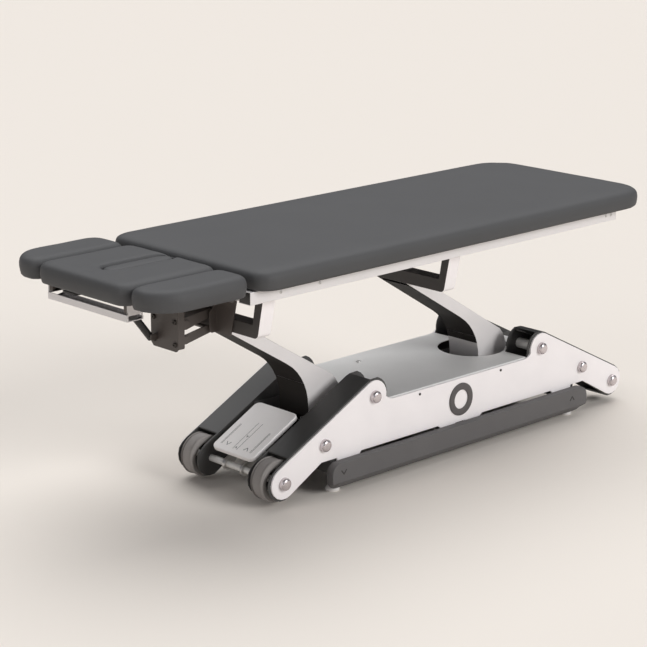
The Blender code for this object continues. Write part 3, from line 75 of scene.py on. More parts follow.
# Matt background paper: one even warm tone that only takes the table's soft shadow.
paper = bpy.data.materials.new("matt_background_paper")
paper.use_nodes = True
paper_shader = paper.node_tree.nodes["Principled BSDF"]
paper_shader.inputs["Base Color"].default_value = colour("E4DDD5")
paper_shader.inputs["Roughness"].default_value = 1.0
paper_shader.inputs["Specular IOR Level"].default_value = 0.0

bpy.ops.mesh.primitive_plane_add(size=60, location=(0, 0, 0))
floor = bpy.context.object
floor.name = "paper_floor"
floor.data.materials.append(paper)

world = bpy.data.worlds.new("studio_air")
bpy.context.scene.world = world
world.use_nodes = True
world.node_tree.nodes["Background"].inputs["Color"].default_value = colour("F2F5FF")
world.node_tree.nodes["Background"].inputs["Strength"].default_value = 0.14


def broad_lamp(name, toward, strength, spread):
    """A far soft box: light from one direction, its shadow edges blurred by the spread."""
    light = bpy.data.lights.new(name, "SUN")
    light.energy = strength
    light.angle = radians(spread)
    lamp = bpy.data.objects.new(name, light)
    bpy.context.scene.collection.objects.link(lamp)
    lamp.rotation_euler = Vector(toward).to_track_quat("Z", "Y").to_euler()
    return lamp


broad_lamp("key_softbox", (0.28, -0.87, 0.41), 1.78, 30)
broad_lamp("overhead_softbox", (0.25, 0.32, 1.0), 2.38, 66)
broad_lamp("head_end_fill", (-0.93, -0.15, 0.33), 0.6, 60)

view = bpy.data.cameras.new("photo_view")
view.lens = 114.65
view.sensor_width = 36
camera = bpy.data.objects.new("photo_view", view)
camera.location = (-4.0109, -4.0821, 1.9708)
camera.rotation_euler = (radians(74.607), 0, radians(-43.567))
bpy.context.scene.collection.objects.link(camera)
bpy.context.scene.camera = camera
bpy.context.scene.view_settings.view_transform = "Standard"


# Side plates: 6 mm laser-cut steel, blasted and powder coated white. The coat rounds every
# cut edge a little and dries with a fine orange peel.

def add(material, kind, settings=None, inputs=None):
    """A node with its settings; each input is a value or another node's output."""
    node = material.node_tree.nodes.new(kind)
    for name, value in (settings or {}).items():
        setattr(node, name, value)
    for name, value in (inputs or {}).items():
        if isinstance(value, bpy.types.NodeSocket):
            material.node_tree.links.new(value, node.inputs[name])
        else:
            node.inputs[name].default_value = value
    return node


def powder_coat(name, tone, roughness, peel_mm=2.6, peel_depth=0.00004):
    """Baked powder coat: an even tone with a hint of cloud, and an orange peel in its gloss.

    The real peel is about 1 mm; it is drawn coarser so that the render can hold it.
    """
    coat = bpy.data.materials.new(name)
    coat.use_nodes = True
    shader = coat.node_tree.nodes["Principled BSDF"]
    shader.inputs["Roughness"].default_value = roughness
    where = add(coat, "ShaderNodeTexCoord").outputs["Object"]
    cloud = add(coat, "ShaderNodeTexNoise", inputs={"Vector": where, "Scale": 7.0, "Detail": 3.0})
    shade = add(coat, "ShaderNodeHueSaturation", inputs={"Color": colour(tone)})
    level = add(coat, "ShaderNodeMapRange", inputs={"Value": cloud.outputs[0], "From Min": 0.3,
                                                    "From Max": 0.7, "To Min": 0.965,
                                                    "To Max": 1.02})
    coat.node_tree.links.new(level.outputs[0], shade.inputs["Value"])
    coat.node_tree.links.new(shade.outputs[0], shader.inputs["Base Color"])
    peel = add(coat, "ShaderNodeTexNoise", inputs={"Vector": where, "Scale": 1000 / peel_mm,
                                                   "Detail": 2.0})
    relief = add(coat, "ShaderNodeBump", inputs={"Height": peel.outputs[0], "Strength": 0.35,
                                                 "Distance": peel_depth})
    coat.node_tree.links.new(relief.outputs[0], shader.inputs["Normal"])
    return coat


MERGE_REACH, RIM_FIT, RIM_ARC = 0.00002, 0.0003, 0.2


def finished(cad_name, finish, edge=0.0008, rounds=2, fold=35, cutter=None,
             rims=()):
    """The CAD solid as one merged skin, its sharp edges rounded, in its own finish.

    A cutter, if any, is taken out of it. Each rim is a round end that stands out further: its
    centre, its radius, the way it faces and how far it moves.
    """
    source = frame["nodes"][cad_name]
    mesh = source.data.copy()
    shape = bmesh.new()
    shape.from_mesh(mesh)
    bmesh.ops.remove_doubles(shape, verts=shape.verts, dist=MERGE_REACH)
    for vert in shape.verts:
        for centre, radius, way, amount in rims:
            spoke = vert.co - Vector(centre)
            spoke.y = 0
            if abs(spoke.length - radius) < RIM_FIT and spoke.dot(way) > RIM_ARC * radius:
                vert.co += spoke.normalized() * amount
    bmesh.ops.dissolve_limit(shape, angle_limit=radians(0.4), verts=shape.verts,
                             edges=shape.edges)
    shape.to_mesh(mesh)
    shape.free()
    piece = bpy.data.objects.new(cad_name + "_finished", mesh)
    bpy.context.scene.collection.objects.link(piece)
    mesh.materials.clear()
    mesh.materials.append(finish)
    bpy.context.view_layer.objects.active = piece
    piece.select_set(True)
    if cutter:
        opening = piece.modifiers.new("opening", "BOOLEAN")
        opening.operation = "DIFFERENCE"
        opening.object = cutter
        bpy.ops.object.modifier_apply(modifier=opening.name)
        bpy.data.objects.remove(cutter)
    rounding = piece.modifiers.new("rounded_edges", "BEVEL")
    rounding.width = edge
    rounding.segments = rounds
    rounding.limit_method = "ANGLE"
    rounding.angle_limit = radians(fold)
    rounding.use_clamp_overlap = False
    bpy.ops.object.modifier_apply(modifier=rounding.name)
    bpy.ops.object.shade_smooth_by_angle(angle=radians(fold))
    flat = piece.modifiers.new("flat_faces", "WEIGHTED_NORMAL")
    flat.keep_sharp = True
    bpy.ops.object.modifier_apply(modifier=flat.name)
    piece.select_set(False)
    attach(piece, source["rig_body"])
    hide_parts(cad_name)
    return piece


white_coat = powder_coat("white_powder_coat", "F4EFEF", 0.42)
for side in ("near", "far"):
    finished("side_plate_" + side, white_coat, edge=0.0010)


# Bolt caps: domed caps pressed from thin steel and satin nickel plated, six on each side plate
# over the bolt heads. The plating mirrors the white plate above and the dark bar below.

def two_tone(name, tones, patch_scale, roughness, metallic=0.0, detail=2.0, grain=None):
    """A finish that drifts between two near tones, with a fine grain if one is given.

    The grain is the scale and the detail of its noise, its strength and its depth in metres.
    Scales count patches to the metre, so 900 is a grain of 1.1 mm. A real mould's grain is half
    that or less, and is drawn as coarse as it needs to be to show.
    """
    finish = bpy.data.materials.new(name)
    finish.use_nodes = True
    shader = finish.node_tree.nodes["Principled BSDF"]
    shader.inputs["Roughness"].default_value = roughness
    shader.inputs["Metallic"].default_value = metallic
    where = add(finish, "ShaderNodeTexCoord").outputs["Object"]
    patches = add(finish, "ShaderNodeTexNoise", inputs={"Vector": where, "Scale": patch_scale,
                                                        "Detail": detail})
    tone = add(finish, "ShaderNodeMix", {"data_type": "RGBA"},
               {0: patches.outputs[0], 6: colour(tones[0]), 7: colour(tones[1])})
    finish.node_tree.links.new(tone.outputs[2], shader.inputs["Base Color"])
    if grain:
        grain_scale, grain_detail, strength, depth = grain
        pores = add(finish, "ShaderNodeTexNoise", inputs={"Vector": where, "Scale": grain_scale,
                                                          "Detail": grain_detail})
        relief = add(finish, "ShaderNodeBump", inputs={"Height": pores.outputs[0],
                                                       "Strength": strength,
                                                       "Distance": depth})
        finish.node_tree.links.new(relief.outputs[0], shader.inputs["Normal"])
    return finish


# satin nickel: a soft mirror with a slight mottle
cap_nickel = two_tone("satin_nickel_plated_cap", ("DAD2D4", "C6BEC0"), 60.0, 0.27,
                      metallic=0.85, grain=(900.0, 2.0, 0.2, 0.00004))


def pick(piece, kind, wanted):
    """In edit mode, selects the faces or edges whose middle (and normal) pass a test."""
    bpy.ops.mesh.select_all(action="DESELECT")
    bpy.ops.mesh.select_mode(type="FACE" if kind == "faces" else "EDGE")
    shape = bmesh.from_edit_mesh(piece.data)
    if kind == "faces":
        chosen = [f for f in shape.faces if wanted(f.calc_center_median(), f.normal)]
    else:
        chosen = [e for e in shape.edges if wanted((e.verts[0].co + e.verts[1].co) / 2, e)]
    for part in chosen:
        part.select_set(True)
    bmesh.update_edit_mesh(piece.data)
    return chosen


def placed_copy(master, name, place, body):
    """A copy of a finished master, with its own mesh, riding on a body at its place."""
    piece = bpy.data.objects.new(name, master.data.copy())
    bpy.context.scene.collection.objects.link(piece)
    piece.data.transform(place)
    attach(piece, body)
    return piece


def seated(seat, axis, height):
    """The place of a master of this height, modelled upright at the origin, on its seat."""
    turn = Vector((0, 0, 1)).rotation_difference(Vector(axis))
    middle = Vector(seat) + Vector(axis) * (height / 2)
    return Matrix.Translation(middle) @ turn.to_matrix().to_4x4()


ring_low, ring_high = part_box("ring_bezel_near")
BASE_X = (ring_low.x + ring_high.x) / 2
PLATE_OUTER_Y = 0.1965
CAP_RADIUS, CAP_HEIGHT, CAP_DOME = 0.0180, 0.0146, 0.0088
CAP_PLACES = [(end * x, z) for end in (-1, 1) for x, z in ((0.355, 0.245), (0.549, 0.147),
                                                           (0.700, 0.072))]
bpy.ops.mesh.primitive_cylinder_add(vertices=40, radius=CAP_RADIUS, depth=CAP_HEIGHT,
                                    location=(0, 0, 0))
cap_master = bpy.context.object
bpy.ops.object.mode_set(mode="EDIT")
pick(cap_master, "edges", lambda middle, edge: middle.z > CAP_HEIGHT / 2 - 1e-5)
bpy.ops.mesh.bevel(offset=CAP_DOME, segments=6, affect="EDGES")
pick(cap_master, "faces", lambda middle, normal: normal.z < -0.9)
bpy.ops.mesh.delete(type="ONLY_FACE")
bpy.ops.object.mode_set(mode="OBJECT")
bpy.ops.object.shade_smooth_by_angle(angle=radians(50))
cap_master.data.materials.append(cap_nickel)
for side_name, side in (("near", -1), ("far", 1)):
    for number, (x, z) in enumerate(CAP_PLACES):
        place = seated((BASE_X + x, side * PLATE_OUTER_Y, z), (0, side, 0), CAP_HEIGHT)
        placed_copy(cap_master, "bolt_cap_%s_%d" % (side_name, number), place, "base")
bpy.data.objects.remove(cap_master)


# Hump bolts and cross axles: zinc plated steel bars in spacer tubes between the cheeks of each
# leg. The tubes' plating is matt and pale; small parts further on have a bright one.

# bright zinc: a cool mirror, its gloss broken by pale clouds some 22 mm across
zinc = bpy.data.materials.new("bright_zinc_plated_steel")
zinc.use_nodes = True
zinc_shader = zinc.node_tree.nodes["Principled BSDF"]
zinc_shader.inputs["Metallic"].default_value = 1.0
zinc_where = add(zinc, "ShaderNodeTexCoord").outputs["Object"]
zinc_cloud = add(zinc, "ShaderNodeTexNoise", inputs={"Vector": zinc_where, "Scale": 45.0,
                                                     "Detail": 4.0})
zinc_tone = add(zinc, "ShaderNodeMix", {"data_type": "RGBA"},
                {0: zinc_cloud.outputs[0], 6: colour("D9D8D6"), 7: colour("C2C0BD")})
zinc.node_tree.links.new(zinc_tone.outputs[2], zinc_shader.inputs["Base Color"])
zinc_gloss = add(zinc, "ShaderNodeMapRange", inputs={"Value": zinc_cloud.outputs[0],
                                                     "To Min": 0.26, "To Max": 0.44})
zinc.node_tree.links.new(zinc_gloss.outputs[0], zinc_shader.inputs["Roughness"])

# matt zinc: hardly a mirror, so the tubes stay pale inside the dark legs
spacer_zinc = two_tone("matt_zinc_plated_spacer", ("EAE8E4", "D8D6D2"), 60.0, 0.42,
                       metallic=0.25, detail=4.0)
for cad_name in ("hump_bolt_head_near", "hump_bolt_head_far", "hump_bolt_foot_near",
                 "hump_bolt_foot_far", "wheel_axle", "foot_end_tie"):
    finished(cad_name, spacer_zinc, edge=0.0006, fold=40)


# Leg boxes: folded 4 mm sheet, powder coated charcoal with a fine texture. Each has two cheeks
# and a strip between them, and the wheels stand up through a slot in the head-end strips.

charcoal_coat = powder_coat("textured_charcoal_powder_coat", "464544", 0.50, 1.6, 0.00006)
SHEET, VALLEY_Z, VALLEY_REACH, VALLEY_DEPTH = 0.004, 0.2285, 0.2, 0.1
HUMP_X, HUMP_Z, HUMP_RADIUS, HUMP_RIM = 0.355, 0.245, 0.051, 0.004
TOE_X, TOE_Z, TOE_RADIUS, TOE_RIM = 0.700, 0.072, 0.049, 0.003
for end_name, end, strip_end in (("head", -1, 0.008), ("foot", 1, -0.020)):
    for side_name in ("near", "far"):
        leg_name = "leg_box_%s_%s" % (end_name, side_name)
        leg_low, leg_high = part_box(leg_name)
        # the strip between the cheeks stops short of the valley, so each hump is open there
        bpy.ops.mesh.primitive_cube_add(
            size=1, location=(BASE_X + end * (HUMP_X + strip_end - VALLEY_REACH / 2),
                              (leg_low.y + leg_high.y) / 2, VALLEY_Z + VALLEY_DEPTH / 2),
            scale=(VALLEY_REACH, leg_high.y - leg_low.y - 2 * SHEET, VALLEY_DEPTH))
        valley = bpy.context.object
        valley.select_set(False)
        rims = (((BASE_X + end * HUMP_X, 0, HUMP_Z), HUMP_RADIUS, Vector((-end, 0, 0)),
                 HUMP_RIM),
                ((BASE_X + end * TOE_X, 0, TOE_Z), TOE_RADIUS, Vector((end * 0.8, 0, -0.6)),
                 TOE_RIM))
        finished(leg_name, charcoal_coat, edge=0.0010, cutter=valley,
                 rims=rims)


# Spine and its cross beams: a folded channel along the middle of the base in the same charcoal
# coat. The ring on each side plate is turned from sheet and coated to match.

finished("base_spine", charcoal_coat, edge=0.0008)

ring_coat = powder_coat("satin_charcoal_powder_coat", "534F4F", 0.45)
RING_RADIUS, RING_BORE, RING_THICKNESS, RING_Z, RING_SEAT = 0.049, 0.029, 0.0032, 0.161, 0.0003
bpy.ops.mesh.primitive_cylinder_add(vertices=96, radius=RING_RADIUS, depth=RING_THICKNESS,
                                    location=(0, 0, 0))
ring_master = bpy.context.object
bpy.ops.object.mode_set(mode="EDIT")
pick(ring_master, "faces", lambda middle, normal: abs(normal.z) > 0.9)
bpy.ops.mesh.inset(thickness=RING_RADIUS - RING_BORE)
bpy.ops.mesh.bridge_edge_loops()
pick(ring_master, "edges", lambda middle, edge: middle.z > RING_THICKNESS / 2 - 1e-5
     and edge.calc_face_angle(0) > 1)
bpy.ops.mesh.bevel(offset=0.0009, segments=3, affect="EDGES")
bpy.ops.object.mode_set(mode="OBJECT")
bpy.ops.object.shade_smooth_by_angle(angle=radians(40))
ring_master.data.materials.append(ring_coat)
for side_name, side in (("near", -1), ("far", 1)):
    place = seated((BASE_X, side * (PLATE_OUTER_Y + RING_SEAT), RING_Z), (0, side, 0),
                   RING_THICKNESS)
    ring = placed_copy(ring_master, "coated_ring_" + side_name, place, "base")
    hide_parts("ring_bezel_" + side_name)
bpy.data.objects.remove(ring_master)


# Cover: folded steel sheet over the middle of the base, powder coated light grey, with the
# lift arm's neck hole and a small round-headed screw that holds it down at the head end.

cover_coat = powder_coat("light_grey_powder_coat", "EEEDEB", 0.46)
finished("base_cover", cover_coat, edge=0.0008)


def place_in_mesh(piece):
    """Moves the object's place and turn into its mesh, as the CAD nodes have it."""
    bpy.ops.object.select_all(action="DESELECT")
    piece.select_set(True)
    bpy.context.view_layer.objects.active = piece
    bpy.ops.object.transform_apply(location=True, rotation=True, scale=True)
    piece.select_set(False)


cover_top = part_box("base_cover")[1].z
COVER_SCREW_X, COVER_SCREW_Y = -0.107, 0.121
COVER_SCREW_RADIUS, COVER_SCREW_HEIGHT, COVER_SCREW_DISH = 0.0075, 0.004, 0.0015
bpy.ops.mesh.primitive_cylinder_add(
    vertices=32, radius=COVER_SCREW_RADIUS, depth=COVER_SCREW_HEIGHT,
    location=(BASE_X + COVER_SCREW_X, COVER_SCREW_Y, cover_top + COVER_SCREW_HEIGHT / 2))
screw = bpy.context.object
screw.name = "cover_screw"
bpy.ops.object.mode_set(mode="EDIT")
pick(screw, "edges", lambda middle, edge: middle.z > COVER_SCREW_HEIGHT / 2 - 1e-5)
bpy.ops.mesh.bevel(offset=0.0024, segments=4, affect="EDGES")
pick(screw, "faces", lambda middle, normal: normal.z > 0.9 and middle.xy.length < 0.001)
bpy.ops.mesh.inset(thickness=0.0016)
bpy.ops.transform.translate(value=(0, 0, -COVER_SCREW_DISH))
bpy.ops.object.mode_set(mode="OBJECT")
bpy.ops.object.shade_smooth_by_angle(angle=radians(40))
place_in_mesh(screw)
screw.data.materials.append(zinc)
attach(screw, "base")


# Plate screws: two small black socket screws that fix each side plate to the cover's lip, of
# turned steel with a bevelled head and a black oxide finish.

# black oxide: a dark, slightly brown steel with a dull sheen
black_oxide = two_tone("black_oxide_steel", ("35322F", "4A4540"), 180.0, 0.45, metallic=0.6)


def socket_screw(radius, depth, finish):
    """The master of a low screw head with a round-cornered socket, upright at the origin."""
    bpy.ops.mesh.primitive_cylinder_add(vertices=24, radius=radius, depth=depth,
                                        location=(0, 0, 0))
    head = bpy.context.object
    bpy.ops.object.mode_set(mode="EDIT")
    pick(head, "edges", lambda m, edge: m.z > depth / 2 - 1e-6)
    bpy.ops.mesh.bevel(offset=min(depth, radius) * 0.4, segments=3, affect="EDGES")
    pick(head, "faces", lambda m, normal: normal.z > 0.9 and m.xy.length < radius * 0.1)
    bpy.ops.mesh.inset(thickness=radius * 0.375)
    bpy.ops.mesh.extrude_region_move(TRANSFORM_OT_translate={"value": (0, 0, -depth * 0.6)})
    bpy.ops.object.mode_set(mode="OBJECT")
    bpy.ops.object.shade_smooth_by_angle(angle=radians(40))
    head.data.materials.append(finish)
    return head


PLATE_SCREW_RADIUS, PLATE_SCREW_DEPTH = 0.0040, 0.0018
PLATE_SCREW_X, PLATE_SCREW_Z = 0.173, 0.213
screw_master = socket_screw(PLATE_SCREW_RADIUS, PLATE_SCREW_DEPTH, black_oxide)
for side_name, side in (("near", -1), ("far", 1)):
    for number, x in enumerate((-PLATE_SCREW_X, PLATE_SCREW_X)):
        place = seated((BASE_X + x, side * PLATE_OUTER_Y, PLATE_SCREW_Z), (0, side, 0),
                       PLATE_SCREW_DEPTH)
        placed_copy(screw_master, "plate_screw_%s_%d" % (side_name, number), place, "base")
bpy.data.objects.remove(screw_master)


# Levelling feet: white glass-filled polyamide discs on threaded stems under the cross beams.
# Each is screwed in or out until the table stands level.

# moulded polyamide: a soft white, faintly mottled by its glass fibres
foot_white = two_tone("white_moulded_polyamide", ("E9E5E2", "D9D5D2"), 50.0, 0.48)
for end in ("head", "foot"):
    for side in ("near", "far"):
        finished("levelling_foot_%s_%s" % (end, side), foot_white,
                 edge=0.0010, fold=30)


# Wheels: a soft grey rubber tyre moulded round a polyamide hub, one in each head-end leg. The
# tread is flat with round shoulders, and the hub is dished with a boss for the axle.

# moulded rubber: matt and dusty, with a fine grain
tyre_rubber = two_tone("moulded_grey_rubber", ("8C8784", "9A9592"), 38.0, 0.68, detail=5.0,
                       grain=(1100.0, 2.0, 0.4, 0.00008))
# polyamide hub: darker and a little smoother
hub_plastic = two_tone("moulded_dark_polyamide_hub", ("4A4745", "585452"), 70.0, 0.5)

WHEEL_RADIUS, WHEEL_WIDTH, SHOULDER = 0.0585, 0.0410, 0.0105
HUB_RADIUS, BOSS_RADIUS, AXLE_BORE = 0.034, 0.0160, 0.0106
bpy.ops.mesh.primitive_cylinder_add(vertices=96, radius=WHEEL_RADIUS, depth=WHEEL_WIDTH,
                                    location=(0, 0, 0))
wheel_master = bpy.context.object
bpy.ops.object.mode_set(mode="EDIT")
pick(wheel_master, "edges", lambda m, edge: abs(m.z) > WHEEL_WIDTH / 2 - 1e-5)
bpy.ops.mesh.bevel(offset=SHOULDER, segments=7, affect="EDGES")
pick(wheel_master, "faces", lambda m, normal: abs(normal.z) > 0.99)
# from the shoulder inwards: tyre wall, its lip, the hub's step, its dish, the boss and the bore
bpy.ops.mesh.inset(thickness=WHEEL_RADIUS - SHOULDER - HUB_RADIUS - 0.003)
bpy.ops.mesh.inset(thickness=0.003, depth=-0.0025)
bpy.ops.mesh.inset(thickness=0.002, depth=-0.0012)
bpy.ops.mesh.inset(thickness=HUB_RADIUS - 0.002 - BOSS_RADIUS - 0.004, depth=-0.001)
bpy.ops.mesh.inset(thickness=0.004, depth=0.0040)
bpy.ops.mesh.inset(thickness=BOSS_RADIUS - AXLE_BORE)
bpy.ops.mesh.bridge_edge_loops()
bpy.ops.object.mode_set(mode="OBJECT")
bpy.ops.object.shade_smooth_by_angle(angle=radians(35))
wheel_master.data.materials.append(tyre_rubber)
wheel_master.data.materials.append(hub_plastic)
for face in wheel_master.data.polygons:
    face.material_index = 1 if face.center.xy.length < HUB_RADIUS + 0.001 else 0
for side_name in ("near", "far"):
    wheel_low, wheel_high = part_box("wheel_" + side_name)
    place = (Matrix.Translation((wheel_low + wheel_high) / 2)
             @ Matrix.Rotation(radians(90), 4, "X"))
    wheel = placed_copy(wheel_master, "rubber_wheel_" + side_name, place,
                        "wheel_" + side_name)
    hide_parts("wheel_" + side_name)
bpy.data.objects.remove(wheel_master)


# Foot bars: long rocking bars of moulded ABS at both sides, finely textured, dark grey. A printed
# chevron at each end says which way the bar drives the table.

# spark-textured ABS: even, matt and grained
bar_abs = two_tone("textured_dark_grey_abs", ("585656", "605E5E"), 12.0, 0.55, detail=4.0,
                   grain=(800.0, 2.0, 0.4, 0.00008))
# pad-printed ink: nearly black, matt
mark_black = two_tone("pad_printed_dark_ink", ("2E2C2C", "3A3837"), 300.0, 0.6)


def sheet_band(name, pairs, thickness, place=Matrix(), upward=False):
    """A band of sheet through pairs of edge points, thickened about them or upward only."""
    bpy.ops.mesh.primitive_plane_add(size=1, location=(0, 0, 0))
    band = bpy.context.object
    band.name = name
    bpy.ops.object.mode_set(mode="EDIT")
    bpy.ops.mesh.select_all(action="SELECT")
    bpy.ops.mesh.delete(type="VERT")
    shape = bmesh.from_edit_mesh(band.data)
    rows = [[shape.verts.new(point) for point in pair] for pair in pairs]
    for first, second in zip(rows, rows[1:]):
        shape.faces.new((first[0], first[1], second[1], second[0]))
    bmesh.update_edit_mesh(band.data)
    bpy.ops.mesh.select_all(action="SELECT")
    bpy.ops.mesh.normals_make_consistent(inside=False)
    bpy.ops.object.mode_set(mode="OBJECT")
    wall = band.modifiers.new("sheet", "SOLIDIFY")
    wall.thickness = thickness
    wall.offset = 0
    if upward:
        wall.offset = 1 if band.data.polygons[0].normal.z > 0 else -1
    bpy.ops.object.modifier_apply(modifier=wall.name)
    band.data.transform(place)
    bpy.ops.object.mode_set(mode="EDIT")
    bpy.ops.mesh.select_all(action="SELECT")
    bpy.ops.mesh.normals_make_consistent(inside=False)
    bpy.ops.object.mode_set(mode="OBJECT")
    return band


def printed_stroke(name, points, width, thickness, place, finish, body):
    """A bent stroke of even width, a hair proud of the face that it is printed on."""
    pairs = []
    for i, point in enumerate(points):
        before = Vector(points[max(i - 1, 0)])
        after = Vector(points[min(i + 1, len(points) - 1)])
        here = Vector(point)
        ways = [w.normalized() for w in (here - before, after - here) if w.length > 1e-9]
        way = sum(ways, Vector((0, 0))).normalized()
        spread = 1 / max(way.dot(ways[0]), 0.3)
        across = Vector((-way.y, way.x)) * (width / 2 * spread)
        pairs.append(((*(here + across), 0), (*(here - across), 0)))
    stroke = sheet_band(name, pairs, thickness, place)
    stroke.data.materials.append(finish)
    stroke.select_set(False)
    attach(stroke, body)
    return stroke


CHEVRON_X, CHEVRON_Z = (-0.503, 0.474), 0.066
CHEVRON_HALF, CHEVRON_RISE, CHEVRON_STROKE, CHEVRON_THICKNESS = 0.010, 0.006, 0.0038, 0.0006
PRINT_LIFT = 0.0001
for side_name, side in (("near", -1), ("far", 1)):
    finished("foot_bar_" + side_name, bar_abs, edge=0.0022, rounds=3,
             fold=30)
    bar_low, bar_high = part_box("foot_bar_" + side_name)
    face_y = bar_low.y if side < 0 else bar_high.y
    for number, (x, point) in enumerate(zip(CHEVRON_X, (-1, 1))):
        upright = Matrix(((1, 0, 0, BASE_X + x), (0, 0, 1, face_y + side * PRINT_LIFT),
                          (0, 1, 0, CHEVRON_Z), (0, 0, 0, 1)))
        rise = CHEVRON_RISE * point
        printed_stroke("bar_chevron_%s_%d" % (side_name, number),
                       [(-CHEVRON_HALF, -rise), (0, rise), (CHEVRON_HALF, -rise)],
                       CHEVRON_STROKE, CHEVRON_THICKNESS, upright, mark_black,
                       "foot_bar_" + side_name)


# Head-end pedal: an injection moulded ABS plate, light grey, rocking on a steel bracket that is
# clamped on the wheel axle. Fine printed lines run along it, with an arrow for each direction.

# the same textured ABS in light grey
pedal_abs = two_tone("textured_light_grey_abs", ("EFEBE9", "F4F0EE"), 18.0, 0.5, detail=3.0,
                     grain=(900.0, 2.0, 0.35, 0.00006))

finished("head_pedal", pedal_abs, edge=0.0006)
finished("pedal_bracket", zinc, edge=0.0008)

PEDAL_LOW, PEDAL_HIGH = Vector((-0.720, 0.117)), Vector((-0.543, 0.209))
pedal_way = (PEDAL_HIGH - PEDAL_LOW).normalized()
pedal_frame = Matrix(((pedal_way.x, 0, -pedal_way.y, BASE_X + PEDAL_LOW.x),
                      (0, 1, 0, 0),
                      (pedal_way.y, 0, pedal_way.x, PEDAL_LOW.y),
                      (0, 0, 0, 1)))
# marks in the pedal's own plane: how far up along it, and how far across
LINE_WIDTH, ARROW_WIDTH, PRINT_THICKNESS = 0.0009, 0.0016, 0.0004
pedal_lines = [[(0.020, y), (0.105, y)] for y in (-0.062, 0.062, -0.058, 0.058)]
pedal_lines += [[(0.016, y), (0.128, y)] for y in (-0.008, 0.008)]
pedal_arrows = [[(0.022, -0.030), (0.034, -0.038), (0.022, -0.046)],
                [(0.034, 0.030), (0.022, 0.038), (0.034, 0.046)],
                [(0.020, -0.003), (0.026, 0.0), (0.020, 0.003)],
                [(0.074, -0.003), (0.068, 0.0), (0.074, 0.003)]]
on_pedal = pedal_frame @ Matrix.Translation((0, 0, PRINT_LIFT))
for number, points in enumerate(pedal_lines + pedal_arrows):
    width = LINE_WIDTH if number < len(pedal_lines) else ARROW_WIDTH
    printed_stroke("pedal_mark_%d" % number, points, width, PRINT_THICKNESS, on_pedal,
                   mark_black, "head_pedal")


# Lift arms: folded sheet steel channels, powder coated pearl grey. The faces toward the head end,
# the inside of the fold and the rim of the neck's boot take a dark coat that is painted shade,
# for the shadow that falls there. Each arm turns on a plated shaft below and a plated pin above.

pearl_coat = powder_coat("pearl_grey_powder_coat", "E1DDDC", 0.40)
# painted shade: a near-black coat for the arms' head-end faces, their inside and the boot rim
arm_shade_paint = powder_coat("arm_painted_shade_coat", "2B2826", 0.62)
arm_shade_paint.node_tree.nodes["Principled BSDF"].inputs["Specular IOR Level"].default_value = 0.15
PIVOT_X, ARM_SPACING, NECK_FRONT, BOOT_TOP = 0.288, 0.707, 0.063, 0.275
CHEEK_SHEET, RIM_HALF, RIM_REACH, FRONT_BAND = 0.0035, 0.006, 0.012, 0.01
for cad_name, shift in (("lift_arm_foot", 0), ("lift_arm_head", -ARM_SPACING)):
    arm = finished(cad_name, pearl_coat, edge=0.0008)
    arm.data.materials.append(arm_shade_paint)
    arm_low, arm_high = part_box(cad_name)
    inner = (arm_high.y - arm_low.y) / 2 - CHEEK_SHEET
    neck_x = BASE_X + shift + PIVOT_X - NECK_FRONT
    for face in arm.data.polygons:
        middle, normal = face.center, face.normal
        # painted shade: the head arm's boot front is dark down to the cover, the foot arm's stays
        # pearl
        above_boot = middle.z > BOOT_TOP - FRONT_BAND or cad_name == "lift_arm_head"
        front = min(normal.x, normal.z) < -0.45 and abs(normal.y) < 0.6 and above_boot
        inside = abs(middle.y) < inner and abs(normal.y) > 0.5
        boot_rim = (abs(middle.z - BOOT_TOP) < RIM_HALF and abs(middle.y) < inner + 0.001
                    and middle.x < neck_x + RIM_REACH)
        if front or inside or boot_rim:
            face.material_index = 1

# the plated shafts are a little thinner than their bores, so that they stay free as an arm turns
SHAFT_PLAY = 0.025
for cad_name in ("arm_shaft_foot", "arm_shaft_head", "top_pin_foot", "top_pin_head"):
    shaft = finished(cad_name, zinc, edge=0.0006, fold=40)
    shaft_low, shaft_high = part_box(cad_name)
    for vert in shaft.data.vertices:
        spoke = vert.co - (shaft_low + shaft_high) / 2
        vert.co -= Vector((spoke.x, 0, spoke.z)) * SHAFT_PLAY

# The strip that closes an arm's front between its cheeks, from under the tip down to the boot:
# a straight run along the arm's tapered underside, then a quarter turn into the upright neck.
TIP_X, TIP_Z, TIP_RADIUS, TURN_RADIUS = -0.080, 0.514, 0.019, 0.165
ARM_RISE, ARM_REACH, ARM_TAPER = 0.324, 0.368, radians(9.66)
STRIP_START, STRIP_HALF, STRIP_SHEET, TURN_STEPS = 0.020, 0.0557, 0.0015, 16
slope = atan2(ARM_RISE, ARM_REACH) - ARM_TAPER
front_x = PIVOT_X - NECK_FRONT
under_x, under_z = TIP_X - sin(slope) * TIP_RADIUS, TIP_Z - cos(slope) * TIP_RADIUS
run = (front_x - TURN_RADIUS * (1 - sin(slope)) - under_x) / cos(slope)
turn_x = front_x - TURN_RADIUS
turn_z = under_z - sin(slope) * run - TURN_RADIUS * cos(slope)
front_line = [(under_x + cos(slope) * STRIP_START, under_z - sin(slope) * STRIP_START)]
for step in range(TURN_STEPS + 1):
    lean = (pi / 2 - slope) * (1 - step / TURN_STEPS)
    front_line.append((turn_x + TURN_RADIUS * cos(lean), turn_z + TURN_RADIUS * sin(lean)))
front_line = [point for point in front_line if point[1] > BOOT_TOP + 0.002]
front_line.append((front_x, BOOT_TOP + 0.0004))
